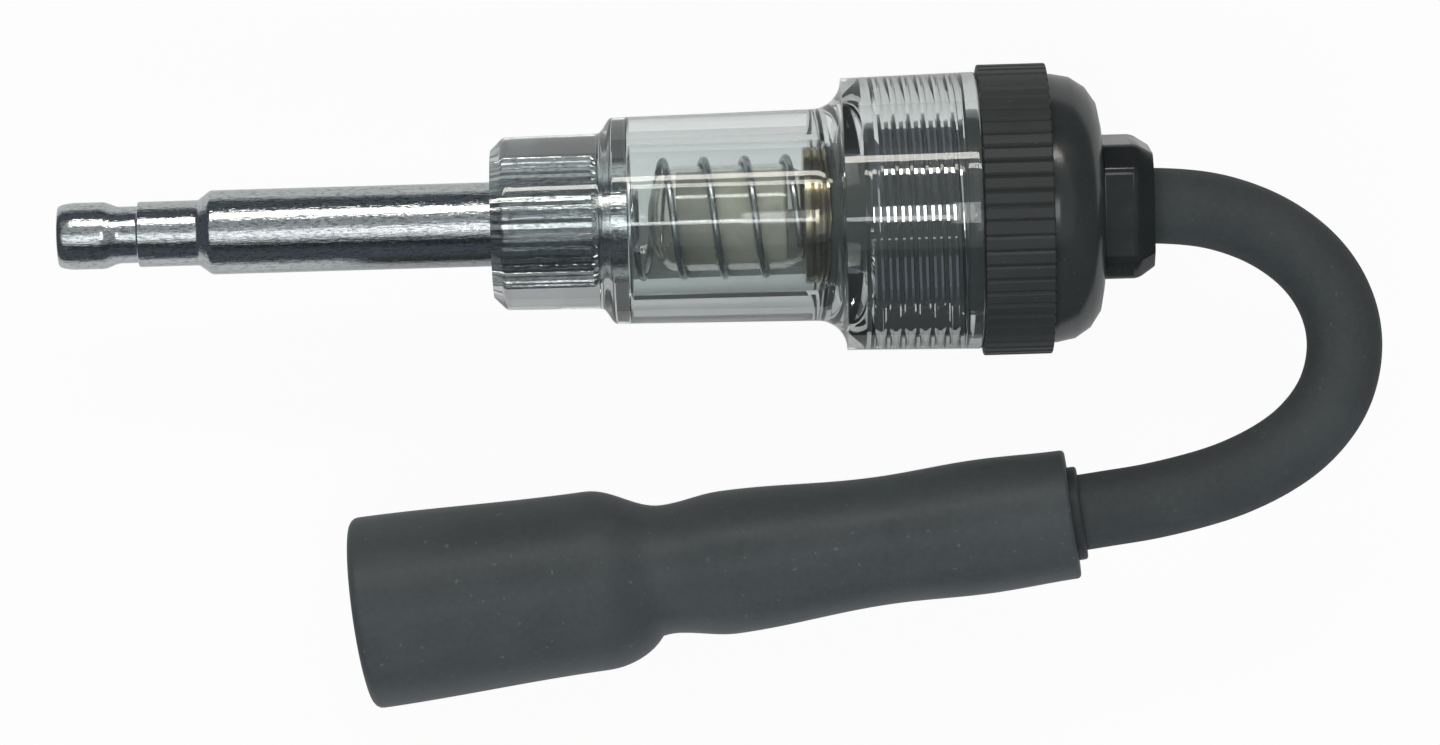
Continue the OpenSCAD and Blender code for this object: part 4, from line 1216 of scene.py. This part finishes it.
class TESTER_OT_lamp(Operator):
    """Neon lamp: glass, stem, electrodes, base shell, insulator and contact button"""

    bl_idname = "tester.lamp"
    bl_label = "Lamp"
    # Steps round the thin wires and round the contact button
    SUPPORT_SIDES = 16
    WIRE_STEPS = 32
    BUTTON_STEPS = 48

    def execute(self, context):
        lamp = context.scene.tester_lamp
        shades = context.scene.tester_finish
        self.glass(lamp, shades)
        self.electrodes(lamp, shades)
        self.base(lamp, shades)
        return {"FINISHED"}

    def glass(self, lamp, shades):
        tip, stem_end = ends("lamp_glass")
        stem = ends("lamp_stem")[0]
        flange = ends("lamp_shell")[0]
        glass_r, neck_r = reach("lamp_glass"), lamp.neck_d / 2
        bore_r, neck_bore_r = glass_r - lamp.wall, neck_r - lamp.wall
        crown_end = tip + lamp.tip_len
        shoulder = flange - lamp.shoulder_len
        outside = list(reversed(cove(crown_end, glass_r, tip, 0)))
        inside = cove(crown_end, bore_r, tip + lamp.wall, 0)
        soft, soft_bore, edge, cone_len = 0.6 * MM, 0.5 * MM, 0.3 * MM, 1.2 * MM
        material = clear_moulding("lamp_glass", shades.glass, index=1.5, rough=0.01, haze=0.05)
        turned_piece("lamp_glass_bulb", [
            *outside, (shoulder, glass_r, soft), (flange, neck_r, soft), (stem_end, neck_r),
            (stem_end, neck_bore_r), (flange + lamp.wall, neck_bore_r, soft_bore),
            (shoulder, bore_r, soft_bore), *inside,
        ], material, "lamp", "lamp_glass")
        stem_r = reach("lamp_stem")
        material = black_moulding(
            "stem_glass", shades.ceramic, rough=0.25, grain=4000, relief=4e-6, sheen=0.5
        )
        turned_piece("lamp_stem_glass", [
            (stem, 0), (stem, stem_r / 2, edge), (stem + cone_len, stem_r, edge), (stem_end, stem_r),
            (stem_end, 0),
        ], material, "lamp", "lamp_stem")

    def electrodes(self, lamp, shades):
        gap, tip_round = 0.1 * MM, 0.3 * MM
        front, stem = ends("lamp_cathode")
        disc = ends("lamp_shell")[0] - lamp.shoulder_len - gap
        tube_r = reach("lamp_cathode")
        hole_r, support_r = lamp.electrode_hole_d / 2, lamp.support_d / 2
        wall = lamp.electrode_t
        bm = bmesh.new()
        turned(bm, [
            (front, tube_r - wall, wall / 3), (front, tube_r, wall / 3), (disc, tube_r, wall),
            (disc, hole_r), (disc - wall, hole_r), (disc - wall, tube_r - wall),
        ], closed=True)
        for side in (-1, 1):
            middle = Vector(((disc + stem) / 2, 0, side * (hole_r + support_r)))
            place = Matrix.Translation(middle) @ Matrix.Rotation(math.pi / 2, 4, "Y")
            bmesh.ops.create_cone(
                bm, cap_ends=True, segments=self.SUPPORT_SIDES, radius1=support_r, radius2=support_r,
                depth=stem - disc, matrix=place,
            )
        soot = (front, front + lamp.soot_len)
        material = plain_metal(
            "lamp_nickel", shades.nickel, rough=0.48, tarnish=0.75, metallic=0.1, soot=soot
        )
        made("lamp_cathode_tube", bm, material, "lamp", "lamp_cathode")
        front, back = ends("lamp_anode")
        wire_r = reach("lamp_anode")
        wire = [(front, 0), (front, wire_r, tip_round), (back, wire_r), (back, 0)]
        turned_piece("lamp_anode_wire", wire, material, "lamp", "lamp_anode", self.WIRE_STEPS)

    def base(self, lamp, shades):
        flange, shell_end = ends("lamp_shell")
        flange_r, shell_r = reach("lamp_shell"), lamp.shell_d / 2
        nose = flange + lamp.flange_len
        pitch = lamp.flange_len / lamp.flange_ridges
        grooves = []
        for i in range(1, lamp.flange_ridges):
            x = flange + i * pitch
            groove = (x, flange_r - lamp.ridge_depth)
            grooves += [(x - pitch / 4, flange_r), groove, (x + pitch / 4, flange_r)]
        bore_r = shell_r - lamp.shell_t
        edge = 0.15 * MM
        material = plain_metal("lamp_base", shades.base, rough=0.14)
        turned_piece("lamp_base_shell", [
            (flange, bore_r, edge), (flange, flange_r, edge), *grooves, (nose, flange_r, edge),
            (nose, shell_r), (shell_end, shell_r, edge), (shell_end, bore_r),
        ], material, "lamp", "lamp_shell", closed=True)
        front, back = ends("lamp_insulator")
        disc_r, button_r = reach("lamp_insulator"), lamp.button_d / 2
        material = black_moulding("lamp_insulator", shades.insulator, rough=0.35)
        turned_piece("lamp_insulator_disc", [
            (front, 0), (front, disc_r), (shell_end, disc_r, edge), (back, button_r + edge, edge), (back, 0),
        ], material, "lamp", "lamp_insulator")
        front, back = ends("lamp_contact")
        button = [(front, 0), *cove(front, button_r, back, 0)]
        material = plain_metal("solder", shades.solder, rough=0.35)
        turned_piece(
            "lamp_contact_button", button, material, "lamp", "lamp_contact", self.BUTTON_STEPS
        )


class TESTER_OT_fittings(Operator):
    """Finishes for the brass terminals, the conductor and the snap ring, whose own shapes stay"""

    bl_idname = "tester.fittings"
    bl_label = "Terminals"

    def execute(self, context):
        shades = context.scene.tester_finish
        brass = plain_metal("brass", shades.brass, rough=0.26, tarnish=0.6)
        copper = plain_metal("copper_core", shades.copper, rough=0.4, tarnish=0.5)
        steel = drawn_steel("ring_steel", shades.steel)
        finishes = {
            "lead_terminal": brass, "boot_terminal": brass, "lead_core": copper, "terminal_ring": steel,
        }
        for node, material in finishes.items():
            mesh = frame["nodes"][node].data
            mesh.materials.clear()
            mesh.materials.append(material)
        return {"FINISHED"}


class TESTER_PT_panel(Panel):
    """Buttons that make each piece, and the sizes and colours that they use"""

    bl_label = "Spark tester"
    bl_idname = "TESTER_PT_panel"
    bl_space_type = "VIEW_3D"
    bl_region_type = "UI"
    bl_category = "Tester"

    def draw(self, context):
        for operator in OPERATORS:
            self.layout.operator(operator.bl_idname)
        for name in GROUPS:
            group = getattr(context.scene, name)
            box = self.layout.box()
            box.label(text=group.__doc__)
            for field in group.__annotations__:
                box.prop(group, field)


GROUPS = {
    "tester_rod": TesterRod, "tester_housing": TesterHousing, "tester_thread": TesterThread,
    "tester_cap": TesterCap, "tester_spring": TesterSpring, "tester_lamp": TesterLamp,
    "tester_lead": TesterLead, "tester_boot": TesterBoot, "tester_finish": TesterFinish,
    "tester_stage": TesterStage,
}
OPERATORS = [
    TESTER_OT_stage, TESTER_OT_boot, TESTER_OT_lead, TESTER_OT_collar, TESTER_OT_cap, TESTER_OT_housing,
    TESTER_OT_rod, TESTER_OT_spring, TESTER_OT_lamp, TESTER_OT_fittings,
]


def register():
    for cls in (*GROUPS.values(), *OPERATORS, TESTER_PT_panel):
        bpy.utils.register_class(cls)
    for name, group in GROUPS.items():
        setattr(bpy.types.Scene, name, PointerProperty(type=group))


def unregister():
    for name in GROUPS:
        delattr(bpy.types.Scene, name)
    for cls in reversed((*GROUPS.values(), *OPERATORS, TESTER_PT_panel)):
        bpy.utils.unregister_class(cls)


def main():
    register()
    bpy.ops.tester.stage()
    bpy.ops.tester.boot()
    bpy.ops.tester.lead()
    bpy.ops.tester.collar()
    bpy.ops.tester.cap()
    bpy.ops.tester.housing()
    bpy.ops.tester.rod()
    bpy.ops.tester.spring()
    bpy.ops.tester.lamp()
    bpy.ops.tester.fittings()


if __name__ == "__main__":
    main()
